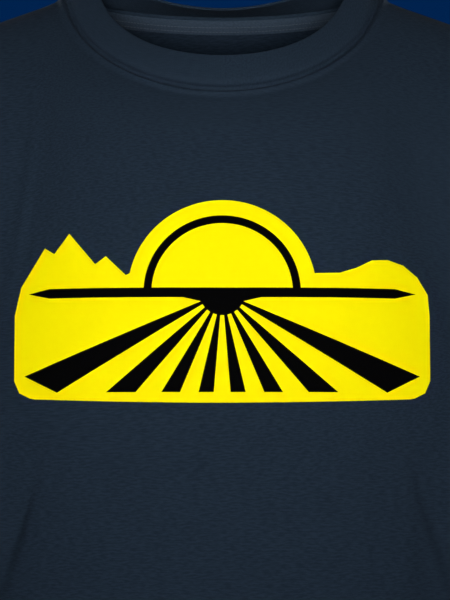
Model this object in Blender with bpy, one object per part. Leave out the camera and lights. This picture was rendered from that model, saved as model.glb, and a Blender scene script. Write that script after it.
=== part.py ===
"""A short-sleeved crew-neck T-shirt in the shape it takes on its wearer.

The row frame is in metres: +Z up, -Y the shirt's front, +X the wearer's left, and the origin is midway
between the two neck points, where the shoulder seams meet the collar. Each panel of cloth is a thin closed
shell.
"""

import math

import bmesh
import bpy
import numpy as np
from mathutils import Vector
from mathutils.bvhtree import BVHTree
from mathutils.geometry import delaunay_2d_cdt
from mathutils.interpolate import poly_3d_calc

# The body, with heights counted from the neck points
BODY_LENGTH = 0.715
UNDERARM_DROP = 0.245
BODY_STATIONS = (  # height, half width, front depth, back depth
    (-BODY_LENGTH, 0.211, 0.120, 0.113),
    (-0.560, 0.208, 0.121, 0.105),
    (-0.420, 0.205, 0.124, 0.102),
    (-UNDERARM_DROP, 0.201, 0.132, 0.117),
)
ROUNDNESS = 2.35  # exponent of the cross-section: 2 is an ellipse, more is squarer
UNDERARM_DIP = 0.035  # the level line through the underarm is this much lower at the centre
CENTRE_LEAN = math.radians(51.5)  # the slope at which the centre lines reach the neckline
CENTRE_PULL = 1.146  # how long they keep to that slope

# The neckline, where the panels meet the rib
NECK_HALF_WIDTH = 0.0965
FRONT_NECK_DROP = 0.0725
FRONT_NECK_DEPTH = 0.077
BACK_NECK_DROP = 0.008
BACK_NECK_DEPTH = 0.077
NECK_POINT_SET_BACK = 0.004
RIB_WIDTH = 0.0235
RIB_RISE = {"front": math.radians(69), "side": math.radians(36), "back": math.radians(2)}

# The shoulder and the armhole
SHOULDER_HALF_WIDTH = 0.224
SHOULDER_SLOPE = math.radians(20.5)
ARMHOLE_FRONT_DEPTH = 0.066
ARMHOLE_BACK_DEPTH = 0.062
ARMHOLE_FRONT_HOLLOW = 0.024
ARMHOLE_BACK_HOLLOW = 0.014

# The sleeve, which follows an arm held a little away from the body
SLEEVE_TOP_LENGTH = 0.205
SLEEVE_UNDER_LENGTH = 0.078
SLEEVE_TOP_FALL = math.radians(53)  # the top line's mean slope
SLEEVE_UNDER_FALL = math.radians(59)
ARM_FALL = math.radians(62)  # the slope of the arm
SLEEVE_HEM_HALF_DEPTH = 0.052
SLEEVE_FULLNESS = 0.30  # how far the sleeve swells forwards and back as it leaves the armhole

# The folds, which stand out of the plain shape or sink into it
FOLDS = (  # side, the top end's x and z, the bottom end's x and z, width, height: less than 0 for a valley
    ("front", 0.098, -0.245, 0.163, -0.600, 0.012, -0.0042),
    ("front", 0.128, -0.255, 0.186, -0.690, 0.017, 0.0075),
    ("front", 0.070, -0.270, 0.118, -0.640, 0.020, 0.0030),
    ("front", 0.184, -0.215, 0.146, -0.330, 0.011, 0.0050),
    ("front", 0.190, -0.270, 0.168, -0.430, 0.012, 0.0060),
    ("front", 0.172, -0.095, 0.176, -0.225, 0.012, 0.0040),
    ("front", -0.100, -0.245, -0.157, -0.580, 0.012, -0.0042),
    ("front", -0.130, -0.260, -0.180, -0.700, 0.018, 0.0080),
    ("front", -0.074, -0.290, -0.104, -0.690, 0.021, 0.0035),
    ("front", -0.186, -0.225, -0.140, -0.345, 0.012, 0.0055),
    ("front", -0.172, -0.100, -0.177, -0.225, 0.012, 0.0040),
    ("back", 0.100, -0.170, 0.135, -0.700, 0.024, 0.0090),
    ("back", 0.155, -0.190, 0.178, -0.640, 0.016, 0.0060),
    ("back", 0.030, -0.300, 0.045, -0.700, 0.024, 0.0050),
    ("back", 0.186, -0.225, 0.140, -0.340, 0.012, 0.0050),
    ("back", -0.104, -0.170, -0.122, -0.690, 0.023, 0.0085),
    ("back", -0.158, -0.200, -0.184, -0.660, 0.017, 0.0070),
    ("back", -0.186, -0.230, -0.150, -0.350, 0.012, 0.0055),
    ("back", 0.0, -0.240, -0.020, -0.620, 0.020, -0.0035),
)
FOLD_TAPER = (0.30, 0.45)  # shares of its length over which a fold rises and dies away
SIDE_FADE = 0.03  # they fade out this near the side seams
RIPPLE_TOP = -0.36  # where the waves above the hem start, at the centre
RIPPLE_SIDE_RISE = 0.10  # and how much higher at the sides
RIPPLE_GROWTH = 0.40
RIPPLE_HEIGHT = 0.020
RIPPLES = ((5, 0.9, 2.0, 0.36), (8, 2.4, -3.0, 0.38), (13, 0.3, 4.0, 0.26))  # count, phase, twist, share
CREASE_SPAN = (0.0, 0.05, -0.40, 0.06)  # the creases round each sleeve: top, fade, bottom, fade
CREASE_HEIGHT = 0.0075
CREASE_PITCH = 0.056
CREASE_SLANT = 0.75
CREASE_TURN = 22  # how fast they shift from the front to the back, in radians for each metre
CREASE_REACH = (0.03, 0.10)  # they end this far above the shoulder point's line, and fade over
ARMHOLE_FADE = 0.04
CREASE_AT_HEM = 0.35  # share of a crease's height that is left at the hem
CREASE_HEM_FADE = 0.06

# Cloth, as modelled: thicker than the real 0.7 mm, so that each panel is a sound solid
CLOTH = 0.002
RIB_CLOTH = 0.003
SEAM_GAP = 0.0005  # each panel stops this far short of its seam
TAPE_WIDTH = 0.010
TAPE_CLOTH = 0.0012
TAPE_CLEARANCE = 0.0006
TAPE_BELOW_SEAM = 0.0022

# The print, a flat two-colour picture of a sun over ploughed fields
# Its outlines are laid out about the middle of its horizon
PRINT_HORIZON_DROP = 0.191
PRINT_HALF_WIDTH = 0.118
FIELD_DEPTH = 0.0625
FIELD_SAG = 0.003
SUN_RADIUS = 0.0535
SUN_RING_RADII = (0.0400, 0.0445)
HUB_RADIUS = 0.013
FURROW_ANGLES = (-63, -45, -27, -9, 9, 27, 45, 63)  # degrees from straight down
FURROW_SPREAD = 4.2  # half the angle that a furrow covers, in degrees
FIELD_RIM = 0.006  # the furrows stop this far short of the edge
HORIZON_BAND = 0.0055
PEAKS = (
    (-0.0545, 0.0100),
    (-0.0660, 0.0210),
    (-0.0720, 0.0165),
    (-0.0870, 0.0345),
    (-0.0955, 0.0230),
    (-0.1010, 0.0265),
    (-0.1145, 0.0040),
)
HILLS = (
    (0.1170, 0.0000),
    (0.1110, 0.0100),
    (0.1030, 0.0165),
    (0.0940, 0.0195),
    (0.0850, 0.0190),
    (0.0760, 0.0145),
    (0.0665, 0.0115),
)
FIELD_CORNER = ((0.109, 0.000), (0.115, 0.003), (0.118, 0.010))  # x, and the height above the fields' edge
FIELD_SIDE = (-0.030, -0.012)
HORIZON_STEPS = (0.022, 0.040, 0.060, 0.080, 0.098)
HORIZON_END = 0.110
INK = 0.0005
INK_CLEARANCE = 0.0003

# Divisions of the cage
ACROSS = 8  # from the centre line to the side
NECK_COLUMNS = 4  # of those, the ones that end on the neckline
UP = 7  # from the underarm to the shoulder
DOWN = 8  # from the hem to the underarm
SLEEVE_ROWS = 5
SMOOTHING = 1  # levels of subdivision

FRONT, BACK, SLEEVE_LEFT, SLEEVE_RIGHT, RIB = range(5)
PANELS = {
    "front_panel": FRONT,
    "back_panel": BACK,
    "sleeve_left": SLEEVE_LEFT,
    "sleeve_right": SLEEVE_RIGHT,
    "neck_rib": RIB,
}
NAVY = (0.020, 0.032, 0.052)
NAVY_TAPE = (0.034, 0.046, 0.064)
YELLOW = (1.0, 0.905, 0.0)
BLACK = (0.004, 0.004, 0.005)


def clear_scene():
    for obj in list(bpy.data.objects):
        bpy.data.objects.remove(obj, do_unlink=True)


def cloth_material(name, colour):
    material = bpy.data.materials.new(name)
    material.use_nodes = True
    shader = material.node_tree.nodes["Principled BSDF"]
    shader.inputs["Base Color"].default_value = (*colour, 1)
    shader.inputs["Roughness"].default_value = 0.9
    return material


def hermite(start, start_tangent, end, end_tangent, s):
    """A point on the cubic that leaves start and reaches end with those tangents."""
    return (
        start * (2 * s**3 - 3 * s**2 + 1)
        + start_tangent * (s**3 - 2 * s**2 + s)
        + end * (3 * s**2 - 2 * s**3)
        + end_tangent * (s**3 - s**2)
    )


def body_size(height):
    """(half width, front depth, back depth) of the body at that height, smooth between the stations."""
    for low, high in zip(BODY_STATIONS, BODY_STATIONS[1:]):
        if height <= high[0]:
            s = (height - low[0]) / (high[0] - low[0])
            s = s * s * (3 - 2 * s)
            return [a + (b - a) * s for a, b in zip(low[1:], high[1:])]
    return list(BODY_STATIONS[-1][1:])


def around(half_width, depth, u):
    """(x, distance from the middle) at u, from 0 on the centre line to 1 at the side."""
    angle = u * math.pi / 2
    power = 2 / ROUNDNESS
    return half_width * math.sin(angle) ** power, depth * max(math.cos(angle), 0.0) ** power


def level_dip(u):
    """How much lower than the side a level line is at u."""
    return UNDERARM_DIP * (1 - u**3)


def body_point(side, u, row):
    """A point below the underarm; row is 0 at the hem and 1 at the underarm line."""
    height = -BODY_LENGTH + (BODY_LENGTH - UNDERARM_DROP - level_dip(u)) * row
    half_width, front, back = body_size(height)
    x, y = around(half_width, front if side == FRONT else back, u)
    return Vector((x, -y if side == FRONT else y, height))


def shoulder_height(x):
    return -(x - NECK_HALF_WIDTH) * math.tan(SHOULDER_SLOPE)


def top_edge(side, u):
    """The neckline, and then the shoulder seam, from the centre line to the shoulder point."""
    u_neck = NECK_COLUMNS / ACROSS
    if u <= u_neck:
        angle = u / u_neck * math.pi / 2
        depth, drop = (
            (-FRONT_NECK_DEPTH, FRONT_NECK_DROP) if side == FRONT else (BACK_NECK_DEPTH, BACK_NECK_DROP)
        )
        y = NECK_POINT_SET_BACK + (depth - NECK_POINT_SET_BACK) * math.cos(angle)
        return Vector((NECK_HALF_WIDTH * math.sin(angle), y, -drop * math.cos(angle)))
    s = (u - u_neck) / (1 - u_neck)
    x = NECK_HALF_WIDTH + (SHOULDER_HALF_WIDTH - NECK_HALF_WIDTH) * s
    return Vector((x, NECK_POINT_SET_BACK * (1 - s), shoulder_height(x)))


def armhole(side, s):
    """The armhole seam, from the underarm point at 0 to the shoulder point at 1."""
    angle = s * math.pi
    rise = (1 - math.cos(angle)) / 2
    side_x = BODY_STATIONS[-1][1]
    top_z = shoulder_height(SHOULDER_HALF_WIDTH)
    depth, hollow = (
        (-ARMHOLE_FRONT_DEPTH, ARMHOLE_FRONT_HOLLOW)
        if side == FRONT
        else (ARMHOLE_BACK_DEPTH, ARMHOLE_BACK_HOLLOW)
    )
    x = side_x + (SHOULDER_HALF_WIDTH - side_x) * rise - hollow * math.sin(angle) ** 2
    return Vector((x, depth * math.sin(angle), -UNDERARM_DROP + (top_z + UNDERARM_DROP) * rise))


def centre_line(side, s):
    """The panel's centre line, from the underarm level at 0 to the neckline at 1."""
    start = body_point(side, 0, 1)
    end = top_edge(side, 0)
    length = end.z - start.z
    inward = math.cos(CENTRE_LEAN) * (1 if side == FRONT else -1)
    lean = Vector((0, inward, math.sin(CENTRE_LEAN)))
    return hermite(start, Vector((0, 0, length)), end, lean * length * CENTRE_PULL, s)


def yoke_point(side, u, s):
    """A point between the underarm level and the shoulder: a patch stretched between its four edges."""
    corner_a, corner_b = body_point(side, 0, 1), body_point(side, 1, 1)
    corner_c, corner_d = top_edge(side, 0), top_edge(side, 1)
    return (
        body_point(side, u, 1) * (1 - s)
        + top_edge(side, u) * s
        + centre_line(side, s) * (1 - u)
        + armhole(side, s) * u
        - (corner_a * (1 - u) + corner_b * u) * (1 - s)
        - (corner_c * (1 - u) + corner_d * u) * s
    )


def panel_point(side, column, row):
    """A point of the front or back panel; columns run across from the centre line, rows up from the hem."""
    u = abs(column) / ACROSS
    point = body_point(side, u, row / DOWN) if row <= DOWN else yoke_point(side, u, (row - DOWN) / UP)
    return Vector((-point.x if column < 0 else point.x, point.y, point.z))


def fall(angle):
    """The direction outwards and down at that slope."""
    return Vector((math.cos(angle), 0, -math.sin(angle)))


def sleeve_hem(side, s):
    """The edge of the sleeve, from its underside at 0 to its top at 1."""
    top = armhole(FRONT, 1) + fall(SLEEVE_TOP_FALL) * SLEEVE_TOP_LENGTH
    under = armhole(FRONT, 0) + fall(SLEEVE_UNDER_FALL) * SLEEVE_UNDER_LENGTH
    depth = -SLEEVE_HEM_HALF_DEPTH if side == FRONT else SLEEVE_HEM_HALF_DEPTH
    angle = s * math.pi
    return (top + under) / 2 - (top - under) / 2 * math.cos(angle) + Vector((0, depth * math.sin(angle), 0))


def sleeve_point(side, s, row):
    """A point of the left sleeve; row is 0 at the armhole and 1 at the sleeve's hem."""
    start, end = armhole(side, s), sleeve_hem(side, s)
    length = (end - start).length
    top_share = (1 - math.cos(s * math.pi)) / 2
    leave = fall(SLEEVE_UNDER_FALL) * (1 - top_share) + fall(SHOULDER_SLOPE) * top_share
    swell = (-SLEEVE_FULLNESS if side == FRONT else SLEEVE_FULLNESS) * math.sin(s * math.pi)
    leave = leave.normalized() + Vector((0, swell, 0))
    return hermite(start, leave * length, end, fall(ARM_FALL) * length, row)


def rib_point(side, u, row):
    """A point of the collar; row is 0 at the neckline seam and 1 at the folded top edge."""
    seam = top_edge(side, u * NECK_COLUMNS / ACROSS)
    angle = u * math.pi / 2
    inward = Vector((-math.sin(angle), math.cos(angle) * (1 if side == FRONT else -1), 0))
    end = RIB_RISE["front" if side == FRONT else "back"]
    rise = end + (RIB_RISE["side"] - end) * math.sin(angle) ** 2
    return seam + (inward * math.cos(rise) + Vector((0, 0, math.sin(rise)))) * RIB_WIDTH * row


def build_cage():
    """The whole shirt as one sheet of quads, each face marked with its panel."""
    cage = bmesh.new()

    def quad(points, panel, flip):
        face = cage.faces.new([cage.verts.new(p) for p in (reversed(points) if flip else points)])
        face.material_index = panel
        face.smooth = True

    for side in (FRONT, BACK):
        for column in range(-ACROSS, ACROSS):
            for row in range(DOWN + UP):
                corners = [
                    panel_point(side, c, r)
                    for c, r in ((column, row), (column + 1, row), (column + 1, row + 1), (column, row + 1))
                ]
                quad(corners, side, side == BACK)
        for step in range(UP):
            for row in range(SLEEVE_ROWS):
                corners = [
                    sleeve_point(side, s / UP, r / SLEEVE_ROWS)
                    for s, r in ((step, row), (step, row + 1), (step + 1, row + 1), (step + 1, row))
                ]
                quad(corners, SLEEVE_LEFT, side == BACK)
                mirrored = [Vector((-p.x, p.y, p.z)) for p in corners]
                quad(mirrored, SLEEVE_RIGHT, side == FRONT)
        for column in range(NECK_COLUMNS):
            corners = [
                rib_point(side, c / NECK_COLUMNS, r)
                for c, r in ((column, 0), (column + 1, 0), (column + 1, 1), (column, 1))
            ]
            quad(corners, RIB, side == BACK)
            mirrored = [Vector((-p.x, p.y, p.z)) for p in corners]
            quad(mirrored, RIB, side == FRONT)
    bmesh.ops.remove_doubles(cage, verts=cage.verts, dist=1e-5)
    crease = cage.edges.layers.float.new("crease_edge")
    for edge in cage.edges:
        panels = {f.material_index for f in edge.link_faces}
        edge[crease] = 1.0 if RIB in panels and len(panels) == 2 else 0.0
    return cage


def ease(share):
    """0 up to 0 and 1 from 1 on, smooth between them."""
    share = np.clip(share, 0, 1)
    return share * share * (3 - 2 * share)


def bell(distance, width):
    return np.exp(-((distance / width) ** 2))


def within(z, span):
    """1 inside a span of heights and 0 outside it."""
    top, top_fade, bottom, bottom_fade = span
    return ease((top - z) / top_fade) * ease((z - bottom) / bottom_fade)


def long_fold(x, z, x0, z0, x1, z1, width, height):
    """A fold along the line between two points, as seen from the front."""
    length = math.hypot(x1 - x0, z1 - z0)
    along_x, along_z = (x1 - x0) / length, (z1 - z0) / length
    share = ((x - x0) * along_x + (z - z0) * along_z) / length
    off = (x - x0) * along_z - (z - z0) * along_x
    rise, die = FOLD_TAPER
    return height * ease(share / rise) * ease((1 - share) / die) * bell(off, width)


def long_folds(x, y, z):
    """The folds that hang from the chest, the shoulder blades and the armpits."""
    height = np.zeros(len(x))
    for side, *line in FOLDS:
        outward = -y if side == "front" else y
        height += ease(outward / SIDE_FADE) * long_fold(x, z, *line)
    return height


def ripples(x, y, z):
    """The waves above the hem, which grow as the cloth hangs lower."""
    turn = np.arctan2(x / BODY_STATIONS[0][1], -y / BODY_STATIONS[0][2])
    start = RIPPLE_TOP + RIPPLE_SIDE_RISE * np.sin(turn) ** 2
    waves = sum(share * np.cos(count * turn + phase + twist * z) for count, phase, twist, share in RIPPLES)
    return RIPPLE_HEIGHT * ease((start - z) / RIPPLE_GROWTH) * (1 + waves) / 2


def armhole_x(y, z):
    """How far out the armhole seam is at that height."""
    top_z = shoulder_height(SHOULDER_HALF_WIDTH)
    rise = np.clip((z + UNDERARM_DROP) / (top_z + UNDERARM_DROP), 0, 1)
    hollow = np.where(y < 0, ARMHOLE_FRONT_HOLLOW, ARMHOLE_BACK_HOLLOW)
    side_x = BODY_STATIONS[-1][1]
    return side_x + (SHOULDER_HALF_WIDTH - side_x) * rise - hollow * 4 * rise * (1 - rise)


def sleeve_creases(x, y, z):
    """The creases round each sleeve, which slant up from its underside and end below its top."""
    across, down = np.abs(x) - SHOULDER_HALF_WIDTH, shoulder_height(SHOULDER_HALF_WIDTH) - z
    along = across * math.cos(ARM_FALL) + down * math.sin(ARM_FALL)
    above = across * math.sin(ARM_FALL) - down * math.cos(ARM_FALL)
    wave = np.cos(math.tau * (along + CREASE_SLANT * above) / CREASE_PITCH + CREASE_TURN * y)
    top, under = sleeve_hem(FRONT, 1), sleeve_hem(FRONT, 0)
    line = (top - under).normalized()
    from_hem = (z - under.z) * line.x - (np.abs(x) - under.x) * line.z
    wave_height = CREASE_HEIGHT * (CREASE_AT_HEM + (1 - CREASE_AT_HEM) * ease(from_hem / CREASE_HEM_FADE))
    end, fade = CREASE_REACH
    reach = ease((np.abs(x) - armhole_x(y, z)) / ARMHOLE_FADE) * ease((end - above) / fade)
    return wave_height * within(z, CREASE_SPAN) * reach * (1 + wave) / 2


def fold_height(points):
    """How far the cloth stands out of its plain shape at each point."""
    x, y, z = points.T
    return long_folds(x, y, z) + ripples(x, y, z) + sleeve_creases(x, y, z)


def smoothed(cage):
    """The cage after subdivision, fallen in its folds, as a mesh with its panel marks."""
    mesh = bpy.data.meshes.new("cage")
    cage.to_mesh(mesh)
    cage.free()
    guide = bpy.data.objects.new("cage", mesh)
    bpy.context.scene.collection.objects.link(guide)
    subdivision = guide.modifiers.new("smooth", "SUBSURF")
    subdivision.levels = subdivision.render_levels = SMOOTHING
    graph = bpy.context.evaluated_depsgraph_get()
    made = bpy.data.meshes.new_from_object(guide.evaluated_get(graph))
    bpy.data.objects.remove(guide, do_unlink=True)
    split = bmesh.new()
    split.from_mesh(made)
    bmesh.ops.triangulate(split, faces=split.faces, quad_method="SHORT_EDGE")
    split.normal_update()
    heights = fold_height(np.array([v.co for v in split.verts]))
    for vert, height in zip(split.verts, heights):
        vert.co += vert.normal * height
    split.to_mesh(made)
    split.free()
    return made


def seam_pull(edge, panel):
    """The direction into the panel, square to an edge of its seam; None if the edge isn't the panel's."""
    own = [f for f in edge.link_faces if f.material_index == panel]
    if not own:
        return None
    along = (edge.verts[1].co - edge.verts[0].co).normalized()
    into = own[0].calc_center_median() - edge.verts[0].co
    return (into - along * into.dot(along)).normalized()


def panel_shell(sheet, panel, thickness):
    """One panel of the sheet as a closed shell that stops just short of its seams."""
    whole = bmesh.new()
    whole.from_mesh(sheet)
    faces = [f for f in whole.faces if f.material_index == panel]
    inside = {v: v.co.copy() for f in faces for v in f.verts}
    for vert, place in inside.items():
        seams = [e for e in vert.link_edges if len({f.material_index for f in e.link_faces}) == 2]
        pulls = [pull for pull in (seam_pull(e, panel) for e in seams) if pull is not None]
        if len(pulls) == 1:
            inside[vert] = place + pulls[0] * SEAM_GAP
        elif pulls:
            inside[vert] = place + (pulls[0] + pulls[1]) * SEAM_GAP / max(1 + pulls[0].dot(pulls[1]), 0.4)
    shell = bmesh.new()
    outer, inner = {}, {}
    for vert, place in inside.items():
        outer[vert] = shell.verts.new(place + vert.normal * thickness / 2)
        inner[vert] = shell.verts.new(place - vert.normal * thickness / 2)
    for face in faces:
        shell.faces.new([outer[v] for v in face.verts])
        shell.faces.new([inner[v] for v in reversed(face.verts)])
        for loop in face.loops:
            a, b = loop.vert, loop.link_loop_next.vert
            if sum(f.material_index == panel for f in loop.edge.link_faces) == 1:
                shell.faces.new((outer[b], outer[a], inner[a], inner[b]))
    whole.free()
    return shell


class PanelSurface:
    """The middle of one panel's cloth, with the directions along which the panel was thickened."""

    def __init__(self, whole, panel):
        self.faces = [f for f in whole.faces if f.material_index == panel]
        self.tree = BVHTree.FromPolygons(
            [v.co for v in whole.verts], [[v.index for v in f.verts] for f in self.faces]
        )

    def lift_at(self, index, place):
        """The direction in which the panel was thickened there."""
        verts = self.faces[index].verts
        weights = poly_3d_calc([v.co for v in verts], place)
        return sum((v.normal * w for v, w in zip(verts, weights)), Vector())

    def nearest(self, place):
        found, _, index, _ = self.tree.find_nearest(place)
        return found, self.lift_at(index, found)

    def straight_behind(self, x, z):
        found, _, index, _ = self.tree.ray_cast(Vector((x, -1, z)), Vector((0, 1, 0)))
        return found, self.lift_at(index, found)


def neck_tape(sheet):
    """The band over the back neck seam, inside, as a shell that follows the back panel."""
    whole = bmesh.new()
    whole.from_mesh(sheet)
    surface = PanelSurface(whole, BACK)
    seam = {}
    for edge in whole.edges:
        pull = seam_pull(edge, BACK)
        if pull is not None and {f.material_index for f in edge.link_faces} == {BACK, RIB}:
            for vert in edge.verts:
                seam.setdefault(vert, Vector())
                seam[vert] += pull
    ordered = sorted(seam.items(), key=lambda item: item[0].co.x)
    shell = bmesh.new()
    rings = []
    for vert, pull in ordered[1:-1]:
        near, far = [], []
        for reach in (TAPE_BELOW_SEAM, TAPE_BELOW_SEAM + TAPE_WIDTH / 2, TAPE_BELOW_SEAM + TAPE_WIDTH):
            place, lift = surface.nearest(vert.co + pull.normalized() * reach)
            start = place - lift * (CLOTH / 2 + TAPE_CLEARANCE)
            near.append(shell.verts.new(start))
            far.append(shell.verts.new(start - lift * TAPE_CLOTH))
        rings.append(near + far[::-1])
    close_strip(shell, rings)
    whole.free()
    return shell


def close_strip(shell, rings):
    """Skin a row of rings and cap both ends."""
    count = len(rings[0])
    for a, b in zip(rings, rings[1:]):
        for i in range(count):
            j = (i + 1) % count
            shell.faces.new((a[i], a[j], b[j], b[i]))
    shell.faces.new(rings[0])
    shell.faces.new(rings[-1][::-1])
    bmesh.ops.recalc_face_normals(shell, faces=shell.faces)


def arc(radius, start, end, steps):
    """Points of a circle about the middle of the horizon; angles in degrees from straight down."""
    turns = [math.radians(start + (end - start) * i / steps) for i in range(steps + 1)]
    return [(radius * math.sin(t), -radius * math.cos(t)) for t in turns]


def field_edge(x):
    """How far below the horizon the fields end."""
    return FIELD_DEPTH - FIELD_SAG * (x / PRINT_HALF_WIDTH) ** 2


def picture_outlines():
    """{"print_yellow": [outline, hole ...], "print_black": ...} about the middle of the horizon."""
    wide = PRINT_HALF_WIDTH
    corner = [(x, rise - field_edge(wide)) for x, rise in FIELD_CORNER]
    corner += [(wide, y) for y in FIELD_SIDE]
    bottom = [(x * wide / 10, -field_edge(x * wide / 10)) for x in range(-9, 10)]
    yellow = [(-x, y) for x, y in reversed(corner)] + bottom + corner + list(HILLS)
    yellow += arc(SUN_RADIUS, 102, 258, 30) + list(PEAKS)
    half_band = HORIZON_BAND / 2
    furrows = []
    for angle in FURROW_ANGLES:
        sides = [math.radians(angle - FURROW_SPREAD), math.radians(angle + FURROW_SPREAD)]
        ends = []
        for turn in sides:
            down = (FIELD_DEPTH - FIELD_RIM) / math.cos(turn)
            across = (wide - FIELD_RIM) / abs(math.sin(turn))
            reach = min(down, across)
            ends.append((reach * math.sin(turn), -reach * math.cos(turn)))
        roots = arc(HUB_RADIUS, angle - FURROW_SPREAD, angle + FURROW_SPREAD, 1)
        furrows += [roots[0], ends[0], ends[1], roots[1]]
    lower = [(-HORIZON_END, 0.0)] + [(-x, -half_band) for x in reversed(HORIZON_STEPS)]
    lower += furrows + [(x, -half_band) for x in HORIZON_STEPS] + [(HORIZON_END, 0.0)]
    outer_turn = math.degrees(math.asin(half_band / SUN_RING_RADII[1]))
    inner_turn = math.degrees(math.asin(half_band / SUN_RING_RADII[0]))
    upper = [(x, half_band) for x in reversed(HORIZON_STEPS[2:])]
    upper += arc(SUN_RING_RADII[1], 90 + outer_turn, 270 - outer_turn, 28)
    upper += [(-x, half_band) for x in HORIZON_STEPS[2:]]
    hole = arc(SUN_RING_RADII[0], 90 + inner_turn, 270 - inner_turn, 28)
    return {"print_yellow": [yellow], "print_black": [lower + upper, hole]}


def inside_outline(point, outline):
    """Whether the point lies inside the outline, by counting the sides that a ray to the right crosses."""
    x, y = point
    crossings = 0
    for (x1, y1), (x2, y2) in zip(outline, outline[1:] + outline[:1]):
        if (y1 > y) != (y2 > y) and x < x1 + (y - y1) / (y2 - y1) * (x2 - x1):
            crossings += 1
    return crossings % 2 == 1


def print_film(sheet, outlines, lift):
    """A film of ink as a shell that follows the front panel at that height above the cloth's middle."""
    places, edges = [], []
    for outline in outlines:
        first = len(places)
        places += [Vector(p) for p in outline]
        edges += [(first + i, first + (i + 1) % len(outline)) for i in range(len(outline))]
    whole = bmesh.new()
    whole.from_mesh(sheet)
    surface = PanelSurface(whole, FRONT)
    drop = PRINT_HORIZON_DROP
    reach = PRINT_HALF_WIDTH + 0.02
    index = {}
    for edge in {e for f in surface.faces for e in f.edges}:
        if all(abs(v.co.x) < reach and abs(v.co.z + drop) < FIELD_DEPTH + 0.02 for v in edge.verts):
            for vert in edge.verts:
                if vert not in index:
                    index[vert] = len(places)
                    places.append(Vector((vert.co.x, vert.co.z + drop)))
            edges.append(tuple(index[v] for v in edge.verts))
    flat, _, triangles, _, _, _ = delaunay_2d_cdt(places, edges, [], 0, 1e-7)
    kept = []
    for tri in triangles:
        middle = sum((flat[i] for i in tri), Vector((0, 0))) / len(tri)
        in_hole = any(inside_outline(middle, hole) for hole in outlines[1:])
        if inside_outline(middle, outlines[0]) and not in_hole:
            kept.append(tri)
    shell = bmesh.new()
    over, under = {}, {}
    for i in {i for tri in kept for i in tri}:
        place, away = surface.straight_behind(flat[i].x, flat[i].y - drop)
        under[i] = shell.verts.new(place + away * lift)
        over[i] = shell.verts.new(place + away * (lift + INK))
    whole.free()
    sides = {}
    for tri in kept:
        shell.faces.new([over[i] for i in tri])
        shell.faces.new([under[i] for i in reversed(tri)])
        for a, b in zip(tri, tri[1:] + tri[:1]):
            sides[(a, b)] = sides.get((a, b), 0) + 1
    for a, b in sides:
        if (b, a) not in sides:
            shell.faces.new((over[b], over[a], under[a], under[b]))
    bmesh.ops.recalc_face_normals(shell, faces=shell.faces)
    return shell


def add_object(name, shell, material):
    mesh = bpy.data.meshes.new(name)
    shell.to_mesh(mesh)
    shell.free()
    mesh.materials.append(material)
    mesh.shade_smooth()
    mesh.set_sharp_from_angle(angle=math.radians(50))
    obj = bpy.data.objects.new(name, mesh)
    bpy.context.scene.collection.objects.link(obj)
    return obj


def main():
    clear_scene()
    jersey = cloth_material("navy_jersey", NAVY)
    sheet = smoothed(build_cage())
    for name, panel in PANELS.items():
        add_object(name, panel_shell(sheet, panel, RIB_CLOTH if panel == RIB else CLOTH), jersey)
    add_object("neck_tape", neck_tape(sheet), cloth_material("navy_tape", NAVY_TAPE))
    outlines = picture_outlines()
    yellow_lift = CLOTH / 2 + INK_CLEARANCE
    yellow = print_film(sheet, outlines["print_yellow"], yellow_lift)
    add_object("print_yellow", yellow, cloth_material("yellow_ink", YELLOW))
    black = print_film(sheet, outlines["print_black"], yellow_lift + INK + INK_CLEARANCE)
    add_object("print_black", black, cloth_material("black_ink", BLACK))
    bpy.data.meshes.remove(sheet)


main()
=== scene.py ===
"""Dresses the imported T-shirt: draped jersey with its seams, hems, collar, neck tape, stitches and print."""

import math

import bmesh
import bpy
import numpy as np
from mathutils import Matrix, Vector
from mathutils.bvhtree import BVHTree
from mathutils.geometry import delaunay_2d_cdt
from mathutils.interpolate import poly_3d_calc


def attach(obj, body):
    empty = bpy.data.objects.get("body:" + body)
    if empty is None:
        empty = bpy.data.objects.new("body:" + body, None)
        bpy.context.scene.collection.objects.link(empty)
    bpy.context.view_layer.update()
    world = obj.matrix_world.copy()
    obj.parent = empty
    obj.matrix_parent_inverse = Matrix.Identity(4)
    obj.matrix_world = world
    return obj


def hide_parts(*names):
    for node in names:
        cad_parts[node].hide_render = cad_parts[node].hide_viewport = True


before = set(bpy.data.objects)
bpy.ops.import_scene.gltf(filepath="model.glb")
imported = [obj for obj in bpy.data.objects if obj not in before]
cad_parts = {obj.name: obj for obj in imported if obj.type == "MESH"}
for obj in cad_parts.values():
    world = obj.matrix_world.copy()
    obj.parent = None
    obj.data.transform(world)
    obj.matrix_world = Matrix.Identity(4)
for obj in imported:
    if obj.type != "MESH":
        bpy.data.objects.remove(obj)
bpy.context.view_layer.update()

bl_info = {
    "name": "Crew-Neck T-Shirt",
    "version": (1, 0, 0),
    "blender": (4, 5, 0),
    "location": "View3D > Sidebar > T-Shirt",
    "description": "Builds a worn crew-neck T-shirt with its seams, stitches and print",
    "category": "Add Mesh",
}

MM = 0.001
TINY = 1e-12
MERGE_DISTANCE = 1e-5
SHEET = "draped_sheet"

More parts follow.
